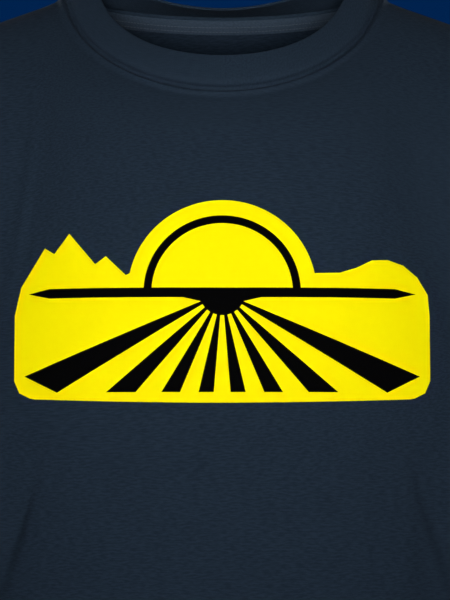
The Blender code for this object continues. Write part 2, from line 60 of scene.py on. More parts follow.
# The drape
FORM_CLEARANCE = 0.004  # how far inside the cloth the wearer is
FORM_THICKNESS = 0.001
FORM_FRICTION = 12
HOLD = (0.006, 0.25)  # how firmly the cloth is held to its place, low down and at the shoulders
HOLD_RISE = (-0.16, 0.12)  # the height from which the hold grows, and over how much
NECK_HOLD = (0.118, -0.12, 0.035)  # the neck's radius, and the same two heights for its full hold
LOOSENESS = 0.004  # how much larger the cloth is than the folded shape
DRAPE_FRAMES = 40
DRAPE_MOST = 0.006  # how far the cloth may end from where it started
FABRIC = {
    "quality": 6,
    "mass": 0.12,
    "air_damping": 1.0,
    "tension_stiffness": 12,
    "compression_stiffness": 12,
    "shear_stiffness": 6,
    "bending_stiffness": 0.25,
    "tension_damping": 5,
    "compression_damping": 5,
    "pin_stiffness": 1.0,
    "shrink_min": -LOOSENESS,
}
FABRIC_GAP = 0.001
FABRIC_CONTACT_QUALITY = 3

# The cage, in quads: across half a panel, across half the neckline, up, down, and along a sleeve
ACROSS = 8
NECK_COLUMNS = 4
UP = 7
DOWN = 12
SLEEVE_ROWS = 5
FINENESS = 8  # cells of the finished sheet along one quad of the cage
DRAPE_FINENESS = 4  # the same while it is draped

# The cut
BODY_STATIONS = (  # height, half width, front depth, back depth
    (-0.715, 0.211, 0.120, 0.113),
    (-0.560, 0.208, 0.121, 0.105),
    (-0.420, 0.205, 0.124, 0.102),
    (-0.245, 0.201, 0.132, 0.117),
)
ROUNDNESS = 2.35
UNDERARM_DIP = 0.035
CENTRE_LEAN = math.radians(51.5)
CENTRE_PULL = 1.146
NECK_POINT_SET_BACK = 0.004
ARMHOLE_DEPTH = {"front": (-0.066, 0.024), "back": (0.062, 0.014)}  # depth and hollow
SLEEVE_TOP_FALL = math.radians(53)
SLEEVE_UNDER_FALL = math.radians(59)
ARM_FALL = math.radians(62)
SLEEVE_HEM_HALF_DEPTH = 0.052
SLEEVE_FULLNESS = 0.30
RIB_RISE = {"front": math.radians(69), "side": math.radians(36), "back": math.radians(2)}

# The folds, which stand out of the plain shape or sink into it
FOLDS = (  # side, the top end's x and z, the bottom end's x and z, width, height: less than 0 for a valley
    ("front", 0.098, -0.245, 0.163, -0.600, 0.012, -0.0042),
    ("front", 0.128, -0.255, 0.186, -0.690, 0.017, 0.0075),
    ("front", 0.070, -0.270, 0.118, -0.640, 0.020, 0.0030),
    ("front", 0.184, -0.215, 0.146, -0.330, 0.011, 0.0050),
    ("front", 0.190, -0.270, 0.168, -0.430, 0.012, 0.0060),
    ("front", 0.172, -0.095, 0.176, -0.225, 0.012, 0.0040),
    ("front", -0.100, -0.245, -0.157, -0.580, 0.012, -0.0042),
    ("front", -0.130, -0.260, -0.180, -0.700, 0.018, 0.0080),
    ("front", -0.074, -0.290, -0.104, -0.690, 0.021, 0.0035),
    ("front", -0.186, -0.225, -0.140, -0.345, 0.012, 0.0055),
    ("front", -0.172, -0.100, -0.177, -0.225, 0.012, 0.0040),
    ("back", 0.100, -0.170, 0.135, -0.700, 0.024, 0.0090),
    ("back", 0.155, -0.190, 0.178, -0.640, 0.016, 0.0060),
    ("back", 0.030, -0.300, 0.045, -0.700, 0.024, 0.0050),
    ("back", 0.186, -0.225, 0.140, -0.340, 0.012, 0.0050),
    ("back", -0.104, -0.170, -0.122, -0.690, 0.023, 0.0085),
    ("back", -0.158, -0.200, -0.184, -0.660, 0.017, 0.0070),
    ("back", -0.186, -0.230, -0.150, -0.350, 0.012, 0.0055),
    ("back", 0.0, -0.240, -0.020, -0.620, 0.020, -0.0035),
)
FOLD_TAPER = (0.30, 0.45)  # shares of its length over which a fold rises and dies away
SIDE_FADE = 0.03  # they fade out this near the side seams
RIPPLE_TOP = -0.36  # where the waves above the hem start, at the centre
RIPPLE_SIDE_RISE = 0.10  # and how much higher at the sides
RIPPLE_GROWTH = 0.40
RIPPLE_HEIGHT = 0.020
RIPPLES = ((5, 0.9, 2.0, 0.36), (8, 2.4, -3.0, 0.38), (13, 0.3, 4.0, 0.26))  # count, phase, twist, share
CREASE_SPAN = (0.0, 0.05, -0.40, 0.06)  # the creases round each sleeve: top, fade, bottom, fade
CREASE_HEIGHT = 0.0075
CREASE_PITCH = 0.056
CREASE_SLANT = 0.75
CREASE_TURN = 22  # how fast they shift from the front to the back, in radians for each metre
CREASE_REACH = (0.03, 0.10)  # they end this far above the shoulder point's line, and fade over
ARMHOLE_FADE = 0.04
CREASE_AT_HEM = 0.35  # share of a crease's height that is left at the hem
CREASE_HEM_FADE = 0.06
PLEATS = (  # the sharp-edged folds low on the front: the top end's x and z, the bottom end's x and z
    (-0.0966, -0.262, -0.153, -0.440),
    (0.1003, -0.262, 0.160, -0.440),
)
PLEAT_DEPTH = 0.0046
PLEAT_WIDTHS = (0.004, 0.011)  # how steeply a pleat sinks from its inner side, and how gently it rises again
PLEAT_TAPER = (0.45, 0.50)  # shares of its length over which it sinks in and dies away

# Rows and columns of the finished cloth: their distances from a seam or a hem, in metres
SEAM_LINES = np.array([0, 0.3, 0.6, 1.0, 1.6, 2.2, 2.9, 3.7, 4.6, 5.8, 7.4, 9.5]) * MM
HEM_LINES = MM * np.array(
    [0, 0.12, 0.35, 0.7, 1.2, 2.2, 4.5, 8.0, 11.5, 14.0, 14.8, 15.5, 16.2, 17.3]
    + [18.6, 19.4, 20.1, 20.8, 21.3, 21.8, 22.5, 24.0, 26.5]
)
COLLAR_LINES = np.array([0, 0.25, 0.5, 0.8, 1.15, 1.5, 1.9, 2.4, 3.0, 3.6, 4.3, 5.2]) * MM
COLLAR_TOP_LINES = np.array([0, 0.05, 0.2, 0.45, 0.8, 1.3, 2.2]) * MM
COLLAR_STEP = 0.0013
TAPE_COLUMNS = 160
TAPE_LINES = (  # shares of the tape's width
    0, 0.012, 0.035, 0.08, 0.16, 0.28, 0.38, 0.43,
    0.52, 0.6, 0.68, 0.75, 0.85, 0.92, 0.97, 0.988,
)
CROWD_STEPS = 2000
# Where columns stand closer, as shares of the width, over how much of it, and how much closer
PLEAT_CROWD = ((0.25, 0.75), 0.07, 1.6)
EVEN = ((), 1, 0)

# Relief. A ridge has its distance from a seam or an edge, its width and its height, in millimetres.
SEAM_RELIEF = ((0, 0.45, -0.45), (2.4, 1.6, 0.22))
NECK_SEAM_RELIEF = ((0, 0.55, -0.3), (2.2, 1.3, 1.0), (5.4, 1.9, -0.5))  # on the body's side
RIB_SEAM_RELIEF = ((1.5, 0.8, 0.35), (3.8, 1.5, -0.9))  # on the collar's side
HEM_ROWS = (15.5, 20.1)  # where the two rows of stitches run, from the hem's edge, in millimetres
HEM_DENT = (0.9, -0.42)  # width and height of the dent along a row
TAPE_STITCHES = (0.47, 0.80)  # shares of the tape's width, from the seam
TAPE_DENT = (0.5, -0.12)
TAPE_SELVEDGE = ((0.6, 0.3, 0.06),)

# A step has its height, the distance up to which it stands and the width over which it ends, in metres.
HEM_PUFF = (0.00045, 0.0212, 0.0016)
HEM_STEP = 0.0006
SEAM_ALLOWANCE = (0.0005, 0.006, 0.0008)
NECK_ALLOWANCE = (0.0006, 0.007, 0.001)
ALLOWANCE_GROOVE = 0.0008
TAPE_LIFT = (0.0006, 0.008, 0.004)
TAPE_GAP = 0.00015
TAPE_THICKNESS = 0.0005
TAPE_END = 1.5  # how far short of the neck points the tape ends, in cells of the sheet
HEM_ROUNDING = 0.0011
COLLAR_ROUNDING = 0.001
TAPE_ROUNDING = 0.0003
EDGE_LEAST = 0.14  # share of the thickness that is left at a rounded edge
RIB_PINCH = (0.00055, 0.75)  # width of the groove at the collar's seam, and share of the cloth that it takes
RIB_INNER_PINCH = 0.0006
RIBS = 400
RIB_RELIEF = 0.00003
RIB_FADE = 0.001
RIB_SWELL = (0.0009, -0.0004, 1.2)  # outside and inside, and how the swelling is rounded

# Stitches
STITCH_SIDES = 6
STITCH_RINGS = 5
STITCH_SHARE = 0.86  # length of a stitch, as a share of the pitch
STITCH_LIFT = 0.3  # how far it lies above the cloth, in thread radii
TAPE_STITCH = (0.8, 1.15)  # the tape's pitch and thread against the hems'

# What the cloths are
CLOTHS = {  # relief, size of a streak, size of a knitted stitch
    "navy_jersey": (0.35, (0.0042, 0.0009), (0.0009, 0.0007)),
    "navy_rib": (0.2, (0.0012, 0.0012), (0.0009, 0.0007)),
    "slate_tape": (0.15, (0.0012, 0.0012), (0.0006, 0.0006)),
}
STREAKS = (0.9, 3.0, 0.6)  # scale, detail and roughness of the noise
STREAK_EDGES = (0.38, 0.62)
CLOUDS = (55.0, 3.0)
CLOUD_SHARE = 0.6
KNIT_SLANT = 1.3
KNIT_BEAD = 0.25
KNIT_HEIGHT = 0.0002
CLOTH_ROUGHNESS = (0.96, 0.84)  # of the darker and the lighter fibres
CLOTH_SPECULAR = 0.12
TAPE_SHADE = 0.8  # how dark the tape's darker fibres are
THREAD_PLIES = 900.0
THREAD_SHADE = 0.6
THREAD_ROUGHNESS = 0.6
THREAD_SPECULAR = 0.25
INKS = {"yellow": (0.75, 0.03, 0.01), "black": (0.8, 0.03, 0.3)}  # roughness, specular level, mottle
INK_PATCHES = (40.0, 2.0)
INK_GRAIN = (900.0, 2.0)
INK_RELIEF = (0.12, 0.0001)
INK_ROUGHNESS_SPREAD = 0.05

# The print, about the middle of its horizon
INK_LIFT = 0.00012
INK_GAP = 0.00004
PRINT_MARGIN = 0.02
CUT_TOLERANCE = 1e-7
FILM_EDGE = math.radians(45)
FIELD_DEPTH = 0.0625
FIELD_SAG = 0.003
FIELD_RIM = 0.006
FIELD_CORNER = ((0.109, 0.000), (0.115, 0.003), (0.118, 0.010))
FIELD_SIDE = (-0.030, -0.012)
FIELD_POINTS = 27
FIELD_STEPS = 30  # how many steps between the points would reach the print's side
SUN_RADIUS = 0.0535
SUN_FROM = 102  # where the sun leaves the hills, in degrees from straight down
SUN_STEPS = 60
SUN_RING_RADII = (0.0400, 0.0445)
SUN_RING_STEPS = 56
HUB_RADIUS = 0.013
FURROW_ANGLES = (-63, -45, -27, -9, 9, 27, 45, 63)
FURROW_SPREAD = 4.2
HORIZON_BAND = 0.0055
HORIZON_STEPS = (0.022, 0.040, 0.060, 0.080, 0.098)
HORIZON_END = 0.110
PEAKS = (
    (-0.0545, 0.0100),
    (-0.0660, 0.0210),
    (-0.0720, 0.0165),
    (-0.0870, 0.0345),
    (-0.0955, 0.0230),
    (-0.1010, 0.0265),
    (-0.1145, 0.0040),
)
HILLS = (
    (0.1170, 0.0000),
    (0.1110, 0.0100),
    (0.1030, 0.0165),
    (0.0940, 0.0195),
    (0.0850, 0.0190),
    (0.0760, 0.0145),
    (0.0665, 0.0115),
)

# The stage
LIGHTS = (  # name, place, aim, size, spread in degrees, power
    ("key", (0.0, -2.5, -0.5), (0, 0, -0.05), 0.4, 22, 0.83),
    ("broad", (0.0, -2.6, 0.2), (0, -0.1, -0.3), 1.2, 180, 18),
    ("hem_fill", (0.0, -2.4, -1.2), (0, -0.1, -0.70), 0.4, 15, 0.34),
    ("left_fill", (2.2, 1.2, -0.4), (0, 0, -0.35), 1.0, 120, 34),
    ("right_fill", (-2.2, 1.2, -0.4), (0, 0, -0.35), 1.0, 120, 44),
    ("back_fill", (1.3, 2.3, -0.7), (0, 0.1, -0.35), 1.0, 120, 60),
)
AMBIENT = 0.11
FLOOR_DROP = 1.45  # from the neck points down to the floor that the wearer would stand on
FLOOR_HALF_WIDTH = 90
BACKDROP_EDGE = (0.55, 0.93)  # how squarely one looks along +Y where the deep blue starts, and is full
SENSOR_HEIGHT = 36
LENS = 263.4
CAMERA_PLACE = (0.0016, -2.6, -0.36)
CAMERA_AIM = (0.0016, -0.1, -0.1936)


def length(name, default, description):
    return bpy.props.FloatProperty(
        name=name, default=default, description=description, unit="LENGTH", precision=4
    )


def colour(name, default, description):
    return bpy.props.FloatVectorProperty(
        name=name, default=default, description=description, subtype="COLOR", size=3, min=0, max=1
    )


class ShirtSizes(bpy.types.PropertyGroup):
    body_length: length("Body length", 0.715, "From the neck points down to the hem")
    underarm_drop: length("Underarm drop", 0.245, "From the neck points down to the underarm")
    neck_half_width: length("Neck half width", 0.0965, "From the centre to a neck point, seam to seam")
    neck_depth: length("Neck half depth", 0.077, "From the middle of the neckline forwards and back")
    front_neck_drop: length("Front neck drop", 0.0725, "How far the neckline dips at the front")
    back_neck_drop: length("Back neck drop", 0.008, "How far the neckline dips at the back")
    rib_width: length("Rib width", 0.0235, "Width of the folded collar")
    shoulder_half_width: length("Shoulder half width", 0.224, "From the centre to a shoulder point")
    shoulder_slope: bpy.props.FloatProperty(
        name="Shoulder slope",
        default=math.radians(20.5),
        description="Fall of the shoulder seam",
        subtype="ANGLE",
    )
    sleeve_top_length: length("Sleeve top length", 0.205, "Along the top of the sleeve")
    sleeve_under_length: length("Sleeve under length", 0.078, "Along the underside of the sleeve")
    jersey: length("Jersey thickness", 0.0008, "Thickness of the body cloth")
    collar: length("Collar thickness", 0.0018, "Thickness of the folded rib")
    mesh_step: length("Mesh step", 0.004, "Size of the body cloth's quads")
    hem_depth: length("Hem depth", 0.021, "How far the hem is folded up")
    tape_width: length("Tape width", 0.010, "Width of the tape over the back neck seam")
    tape_drop: length("Tape drop", 0.0022, "From the back neck seam down to the tape")
    stitch_pitch: length("Stitch pitch", 0.0027, "From one stitch to the next")
    thread: length("Thread radius", 0.00021, "Radius of the sewing thread")
    ink: length("Ink thickness", 0.00012, "Thickness of a film of ink")
    print_half_width: length("Print half width", 0.118, "From the centre to the print's side")
    print_drop: length("Print drop", 0.191, "From the neck points down to the print's horizon")


class ShirtColours(bpy.types.PropertyGroup):
    navy: colour("Navy", (0.0083, 0.0163, 0.0284), "The jersey's darker fibres")
    fleck: colour("Fleck", (0.0135, 0.0250, 0.0422), "The jersey's lighter fibres")
    tape: colour("Tape", (0.034, 0.052, 0.078), "The tape over the back neck seam")
    thread: colour("Thread", (0.020, 0.031, 0.048), "The sewing thread of hems and seams")
    tape_thread: colour("Tape thread", (0.058, 0.080, 0.106), "The sewing thread of the neck tape")
    yellow: colour("Yellow ink", (0.97, 0.82, 0.0), "The print's light ink")
    black: colour("Black ink", (0.0004, 0.0004, 0.0006), "The print's dark ink")
    backdrop: colour("Backdrop", (0.0003, 0.0159, 0.0742), "The deep blue behind the shirt")
    surround: colour("Surround", (0.36, 0.40, 0.46), "What the backdrop fades to round the other sides")
    floor: colour("Floor", (0.50, 0.54, 0.60), "The plain floor far below the shirt")


# The cut of the shirt


def hermite(start, start_tangent, end, end_tangent, s):
    """A point on the cubic that leaves start and reaches end with those tangents."""
    return (
        start * (2 * s**3 - 3 * s**2 + 1)
        + start_tangent * (s**3 - 2 * s**2 + s)
        + end * (3 * s**2 - 2 * s**3)
        + end_tangent * (s**3 - s**2)
    )


def fall(angle):
    """The direction outwards and down at that slope."""
    return Vector((math.cos(angle), 0, -math.sin(angle)))


class Cut:
    """The shirt's surfaces before it is draped, panel by panel, on a grid of quads."""

    def __init__(self, sizes):
        self.sizes = sizes

    def body(self, side, u, row):
        """A point below the underarm; row is 0 at the hem and 1 at the underarm line."""
        s = self.sizes
        dip = UNDERARM_DIP * (1 - u**3)
        height = -s.body_length + (s.body_length - s.underarm_drop - dip) * row
        half_width, front, back = BODY_STATIONS[-1][1:]
        for low, high in zip(BODY_STATIONS, BODY_STATIONS[1:]):
            if height <= high[0]:
                share = (height - low[0]) / (high[0] - low[0])
                share = share * share * (3 - 2 * share)
                half_width, front, back = (a + (b - a) * share for a, b in zip(low[1:], high[1:]))
                break
        angle = u * math.pi / 2
        x = half_width * math.sin(angle) ** (2 / ROUNDNESS)
        y = max(math.cos(angle), 0.0) ** (2 / ROUNDNESS)
        return Vector((x, -front * y if side == "front" else back * y, height))

    def shoulder_height(self, x):
        return -(x - self.sizes.neck_half_width) * math.tan(self.sizes.shoulder_slope)

    def top_edge(self, side, u):
        """The neckline, and then the shoulder seam, from the centre line to the shoulder point."""
        s = self.sizes
        u_neck = NECK_COLUMNS / ACROSS
        if u <= u_neck:
            angle = u / u_neck * math.pi / 2
            depth, drop = (
                (-s.neck_depth, s.front_neck_drop) if side == "front" else (s.neck_depth, s.back_neck_drop)
            )
            y = NECK_POINT_SET_BACK + (depth - NECK_POINT_SET_BACK) * math.cos(angle)
            return Vector((s.neck_half_width * math.sin(angle), y, -drop * math.cos(angle)))
        share = (u - u_neck) / (1 - u_neck)
        x = s.neck_half_width + (s.shoulder_half_width - s.neck_half_width) * share
        return Vector((x, NECK_POINT_SET_BACK * (1 - share), self.shoulder_height(x)))

    def armhole(self, side, s):
        """The armhole seam, from the underarm point at 0 to the shoulder point at 1."""
        angle = s * math.pi
        rise = (1 - math.cos(angle)) / 2
        side_x = BODY_STATIONS[-1][1]
        shoulder_x, drop = self.sizes.shoulder_half_width, self.sizes.underarm_drop
        depth, hollow = ARMHOLE_DEPTH[side]
        x = side_x + (shoulder_x - side_x) * rise - hollow * math.sin(angle) ** 2
        return Vector((x, depth * math.sin(angle), -drop + (self.shoulder_height(shoulder_x) + drop) * rise))

    def centre_line(self, side, s):
        """The panel's centre line, from the underarm level at 0 to the neckline at 1."""
        start, end = self.body(side, 0, 1), self.top_edge(side, 0)
        rise = end.z - start.z
        inward = math.cos(CENTRE_LEAN) * (1 if side == "front" else -1)
        lean = Vector((0, inward, math.sin(CENTRE_LEAN)))
        return hermite(start, Vector((0, 0, rise)), end, lean * rise * CENTRE_PULL, s)

    def yoke(self, side, u, s):
        """A point between the underarm and the shoulder: a patch stretched between its four edges."""
        corner_a, corner_b = self.body(side, 0, 1), self.body(side, 1, 1)
        corner_c, corner_d = self.top_edge(side, 0), self.top_edge(side, 1)
        return (
            self.body(side, u, 1) * (1 - s)
            + self.top_edge(side, u) * s
            + self.centre_line(side, s) * (1 - u)
            + self.armhole(side, s) * u
            - (corner_a * (1 - u) + corner_b * u) * (1 - s)
            - (corner_c * (1 - u) + corner_d * u) * s
        )

    def panel(self, side, column, row):
        u = abs(column) / ACROSS
        point = self.body(side, u, row / DOWN) if row <= DOWN else self.yoke(side, u, (row - DOWN) / UP)
        return Vector((math.copysign(point.x, column), point.y, point.z))

    def sleeve_hem(self, side, s):
        """The edge of the sleeve, from its underside at 0 to its top at 1."""
        top = self.armhole("front", 1) + fall(SLEEVE_TOP_FALL) * self.sizes.sleeve_top_length
        under = self.armhole("front", 0) + fall(SLEEVE_UNDER_FALL) * self.sizes.sleeve_under_length
        depth = -SLEEVE_HEM_HALF_DEPTH if side == "front" else SLEEVE_HEM_HALF_DEPTH
        angle = s * math.pi
        middle = (top + under) / 2 - (top - under) / 2 * math.cos(angle)
        return middle + Vector((0, depth * math.sin(angle), 0))

    def sleeve(self, side, s, row):
        """A point of the left sleeve; row is 0 at the armhole and 1 at the sleeve's hem."""
        start, end = self.armhole(side, s), self.sleeve_hem(side, s)
        reach = (end - start).length
        top_share = (1 - math.cos(s * math.pi)) / 2
        leave = fall(SLEEVE_UNDER_FALL) * (1 - top_share) + fall(self.sizes.shoulder_slope) * top_share
        swell = (-SLEEVE_FULLNESS if side == "front" else SLEEVE_FULLNESS) * math.sin(s * math.pi)
        leave = leave.normalized() + Vector((0, swell, 0))
        return hermite(start, leave * reach, end, fall(ARM_FALL) * reach, row)

    def rib(self, side, u, row):
        """A point of the collar; row is 0 at the neckline seam and 1 at the folded top edge."""
        seam = self.top_edge(side, u * NECK_COLUMNS / ACROSS)
        angle = u * math.pi / 2
        inward = Vector((-math.sin(angle), math.cos(angle) * (1 if side == "front" else -1), 0))
        end = RIB_RISE[side]
        rise = end + (RIB_RISE["side"] - end) * math.sin(angle) ** 2
        return seam + (inward * math.cos(rise) + Vector((0, 0, math.sin(rise)))) * self.sizes.rib_width * row

    def rib_around(self, i, j):
        """The collar counted round from the centre front, by the wearer's left to the back."""
        quarter, left = NECK_COLUMNS, i <= 2 * NECK_COLUMNS
        turn = i if left else 4 * quarter - i
        side, column = ("front", turn) if turn <= quarter else ("back", 2 * quarter - turn)
        point = self.rib(side, column / quarter, j)
        return point if left else Vector((-point.x, point.y, point.z))

    def sleeve_around(self, i, j, left):
        """A sleeve counted round from the underarm: the left one by its back, the right one by its front."""
        first = i <= UP
        side = "back" if first == left else "front"
        point = self.sleeve(side, (i if first else 2 * UP - i) / UP, j / SLEEVE_ROWS)
        return point if left else Vector((-point.x, point.y, point.z))


# Each panel: its columns, its rows and its points. Seen from outside, columns run to the right, and rows run
# up, or out along a sleeve.
PANELS = {
    "front": (2 * ACROSS, DOWN + UP, lambda cut, i, j: cut.panel("front", i - ACROSS, j)),
    "back": (2 * ACROSS, DOWN + UP, lambda cut, i, j: cut.panel("back", ACROSS - i, j)),
    "left_sleeve": (2 * UP, SLEEVE_ROWS, lambda cut, i, j: cut.sleeve_around(i, j, True)),
    "right_sleeve": (2 * UP, SLEEVE_ROWS, lambda cut, i, j: cut.sleeve_around(i, j, False)),
    "collar": (4 * NECK_COLUMNS, 1, lambda cut, i, j: cut.rib_around(i, j)),
}
PANEL_NUMBER = {name: number for number, name in enumerate(PANELS)}


def cut_sheet(sizes):
    """The whole shirt as one sheet of quads; each corner of a face knows its place on its panel's grid."""
    cut = Cut(sizes)
    cage = bmesh.new()
    places = cage.loops.layers.uv.new("grid")
    for name, (columns, rows, point) in PANELS.items():
        for i in range(columns):
            for j in range(rows):
                corners = ((i, j), (i + 1, j), (i + 1, j + 1), (i, j + 1))
                face = cage.faces.new([cage.verts.new(point(cut, *c)) for c in corners])
                face.material_index = PANEL_NUMBER[name]
                face.smooth = True
                for loop, corner in zip(face.loops, corners):
                    loop[places].uv = corner
    bmesh.ops.remove_doubles(cage, verts=cage.verts, dist=MERGE_DISTANCE)
    mesh = bpy.data.meshes.new("cage")
    cage.to_mesh(mesh)
    cage.free()
    for name in PANELS:
        mesh.materials.append(None)
    return mesh


def subdivided(mesh, levels, name):
    """A smoother copy of the sheet, still creased where the collar is sewn on; the old one is removed."""
    sheet = bmesh.new()
    sheet.from_mesh(mesh)
    crease = sheet.edges.layers.float.get("crease_edge") or sheet.edges.layers.float.new("crease_edge")
    collar = PANEL_NUMBER["collar"]
    for edge in sheet.edges:
        panels = {f.material_index for f in edge.link_faces}
        edge[crease] = 1.0 if collar in panels and len(panels) == 2 else 0.0
    sheet.to_mesh(mesh)
    sheet.free()
    guide = new_object(name, mesh)
    smooth = guide.modifiers.new("smooth", "SUBSURF")
    smooth.levels = smooth.render_levels = levels
    smooth.uv_smooth = "NONE"
    return finished_mesh(guide, name)


def new_object(name, data):
    made = bpy.data.objects.new(name, data)
    bpy.context.scene.collection.objects.link(made)
    return made


def evaluated_copy(obj):
    """A copy of the object's mesh with its modifiers applied."""
    graph = bpy.context.evaluated_depsgraph_get()
    return bpy.data.meshes.new_from_object(obj.evaluated_get(graph))


def finished_mesh(obj, name):
    """The object's mesh with its modifiers applied, under that name; the object itself is removed."""
    old = obj.data
    made = evaluated_copy(obj)
    bpy.data.objects.remove(obj, do_unlink=True)
    bpy.data.meshes.remove(old)
    made.name = name
    return made


def coordinates(mesh):
    flat = np.zeros(len(mesh.vertices) * 3)
    mesh.vertices.foreach_get("co", flat)
    return flat.reshape(-1, 3)


def vertex_normals(mesh):
    flat = np.zeros(len(mesh.vertices) * 3, np.float32)
    mesh.vertex_normals.foreach_get("vector", flat)
    return flat.reshape(-1, 3).astype(float)


def panel_vertices(mesh, name):
    """The sheet's vertex numbers on one panel's grid, as an array of rows of columns."""
    columns, rows = PANELS[name][0] * FINENESS, PANELS[name][1] * FINENESS
    found = np.full((rows + 1, columns + 1), -1)
    places = mesh.uv_layers["grid"].data
    for face in mesh.polygons:
        if face.material_index == PANEL_NUMBER[name]:
            for corner in face.loop_indices:
                i, j = (round(c * FINENESS) for c in places[corner].uv)
                found[j, i] = mesh.loops[corner].vertex_index
    return found


# The drape


def ease(share):
    """0 up to 0 and 1 from 1 on, smooth between them."""
    share = np.clip(share, 0, 1)
    return share * share * (3 - 2 * share)


def bell(distance, width):
    return np.exp(-((distance / width) ** 2))


def within(z, span):
    """1 inside a span of heights and 0 outside it."""
    top, top_fade, bottom, bottom_fade = span
    return ease((top - z) / top_fade) * ease((z - bottom) / bottom_fade)


def along_line(x, z, x0, z0, x1, z1):
    """How far along the line between two points each place is, as a share, and how far off to its right."""
    whole = math.hypot(x1 - x0, z1 - z0)
    along_x, along_z = (x1 - x0) / whole, (z1 - z0) / whole
    share = ((x - x0) * along_x + (z - z0) * along_z) / whole
    return share, (x - x0) * along_z - (z - z0) * along_x


def long_folds(x, y, z):
    """The folds that hang from the chest, the shoulder blades and the armpits."""
    rise, die = FOLD_TAPER
    height = np.zeros(len(x))
    for side, *line, width, stand in FOLDS:
        share, off = along_line(x, z, *line)
        outward = -y if side == "front" else y
        fold = stand * ease(share / rise) * ease((1 - share) / die) * bell(off, width)
        height += ease(outward / SIDE_FADE) * fold
    return height


def ripples(x, y, z):
    """The waves above the hem, which grow as the cloth hangs lower."""
    turn = np.arctan2(x / BODY_STATIONS[0][1], -y / BODY_STATIONS[0][2])
    start = RIPPLE_TOP + RIPPLE_SIDE_RISE * np.sin(turn) ** 2
    waves = sum(share * np.cos(count * turn + phase + twist * z) for count, phase, twist, share in RIPPLES)
    return RIPPLE_HEIGHT * ease((start - z) / RIPPLE_GROWTH) * (1 + waves) / 2


def armhole_x(y, z, sizes):
    """How far out the armhole seam is at that height."""
    drop, shoulder_x, side_x = sizes.underarm_drop, sizes.shoulder_half_width, BODY_STATIONS[-1][1]
    top_z = Cut(sizes).shoulder_height(shoulder_x)
    rise = np.clip((z + drop) / (top_z + drop), 0, 1)
    hollow = np.where(y < 0, ARMHOLE_DEPTH["front"][1], ARMHOLE_DEPTH["back"][1])
    return side_x + (shoulder_x - side_x) * rise - hollow * 4 * rise * (1 - rise)


def sleeve_creases(x, y, z, sizes):
    """The creases round each sleeve, which slant up from its underside and end below its top."""
    across = np.abs(x) - sizes.shoulder_half_width
    down = Cut(sizes).shoulder_height(sizes.shoulder_half_width) - z
    along = across * math.cos(ARM_FALL) + down * math.sin(ARM_FALL)
    above = across * math.sin(ARM_FALL) - down * math.cos(ARM_FALL)
    wave = np.cos(math.tau * (along + CREASE_SLANT * above) / CREASE_PITCH + CREASE_TURN * y)
    top, under = Cut(sizes).sleeve_hem("front", 1), Cut(sizes).sleeve_hem("front", 0)
    line = (top - under).normalized()
    from_hem = (z - under.z) * line.x - (np.abs(x) - under.x) * line.z
    wave_height = CREASE_HEIGHT * (CREASE_AT_HEM + (1 - CREASE_AT_HEM) * ease(from_hem / CREASE_HEM_FADE))
    end, fade = CREASE_REACH
    reach = ease((np.abs(x) - armhole_x(y, z, sizes)) / ARMHOLE_FADE) * ease((end - above) / fade)
    return wave_height * within(z, CREASE_SPAN) * reach * (1 + wave) / 2


def fold_height(points, sizes):
    """How far the cloth stands out of its plain shape at each point."""
    x, y, z = points.T
    return long_folds(x, y, z) + ripples(x, y, z) + sleeve_creases(x, y, z, sizes)


def fold(sheet, sizes):
    """Gives the sheet the folds that the solids have."""
    plain = coordinates(sheet)
    folded = plain + vertex_normals(sheet) * fold_height(plain, sizes)[:, None]
    sheet.vertices.foreach_set("co", folded.ravel())
    sheet.update()


def drape(sheet):
    """Lets the folded sheet settle on a hidden wearer, in place; it stays near the solids."""
    start = coordinates(sheet)
    form_mesh = sheet.copy()
    inside = start - vertex_normals(sheet) * FORM_CLEARANCE
    form_mesh.vertices.foreach_set("co", inside.ravel())
    form, cloth = new_object("wearer_form", form_mesh), new_object("falling_cloth", sheet)
    form.modifiers.new("solid", "COLLISION")
    form.collision.thickness_outer = FORM_THICKNESS
    form.collision.cloth_friction = FORM_FRICTION
    held = cloth.vertex_groups.new(name="held")
    least, most = HOLD
    bottom, rise = HOLD_RISE
    hold = least + (most - least) * ease((start[:, 2] - bottom) / rise)
    radius, bottom, rise = NECK_HOLD
    by_neck = np.hypot(start[:, 0], start[:, 1]) < radius
    hold = np.maximum(hold, by_neck * ease((start[:, 2] - bottom) / rise))
    for number, weight in enumerate(hold):
        held.add([number], float(weight), "REPLACE")
    fabric = cloth.modifiers.new("fabric", "CLOTH")
    for name, value in FABRIC.items():
        setattr(fabric.settings, name, value)
    fabric.settings.vertex_group_mass = "held"
    fabric.collision_settings.distance_min = FABRIC_GAP
    fabric.collision_settings.collision_quality = FABRIC_CONTACT_QUALITY
    fabric.point_cache.frame_start = 1
    fabric.point_cache.frame_end = DRAPE_FRAMES
    scene = bpy.context.scene
    for number in range(1, DRAPE_FRAMES + 1):
        scene.frame_set(number)
    hung = evaluated_copy(cloth)
    scene.frame_set(1)
    moved = coordinates(hung) - start
    reach = np.linalg.norm(moved, axis=1)
    print("drape moved mean %.1f mm, most %.1f mm" % (reach.mean() / MM, reach.max() / MM))
    moved *= (DRAPE_MOST * np.tanh(reach / DRAPE_MOST) / np.maximum(reach, TINY))[:, None]
    for obj in (form, cloth):
        bpy.data.objects.remove(obj, do_unlink=True)
    for mesh in (form_mesh, hung):
        bpy.data.meshes.remove(mesh)
    sheet.vertices.foreach_set("co", (start + moved).ravel())
    sheet.update()


# Cloth forms: each panel as two surfaces with its seams and hems


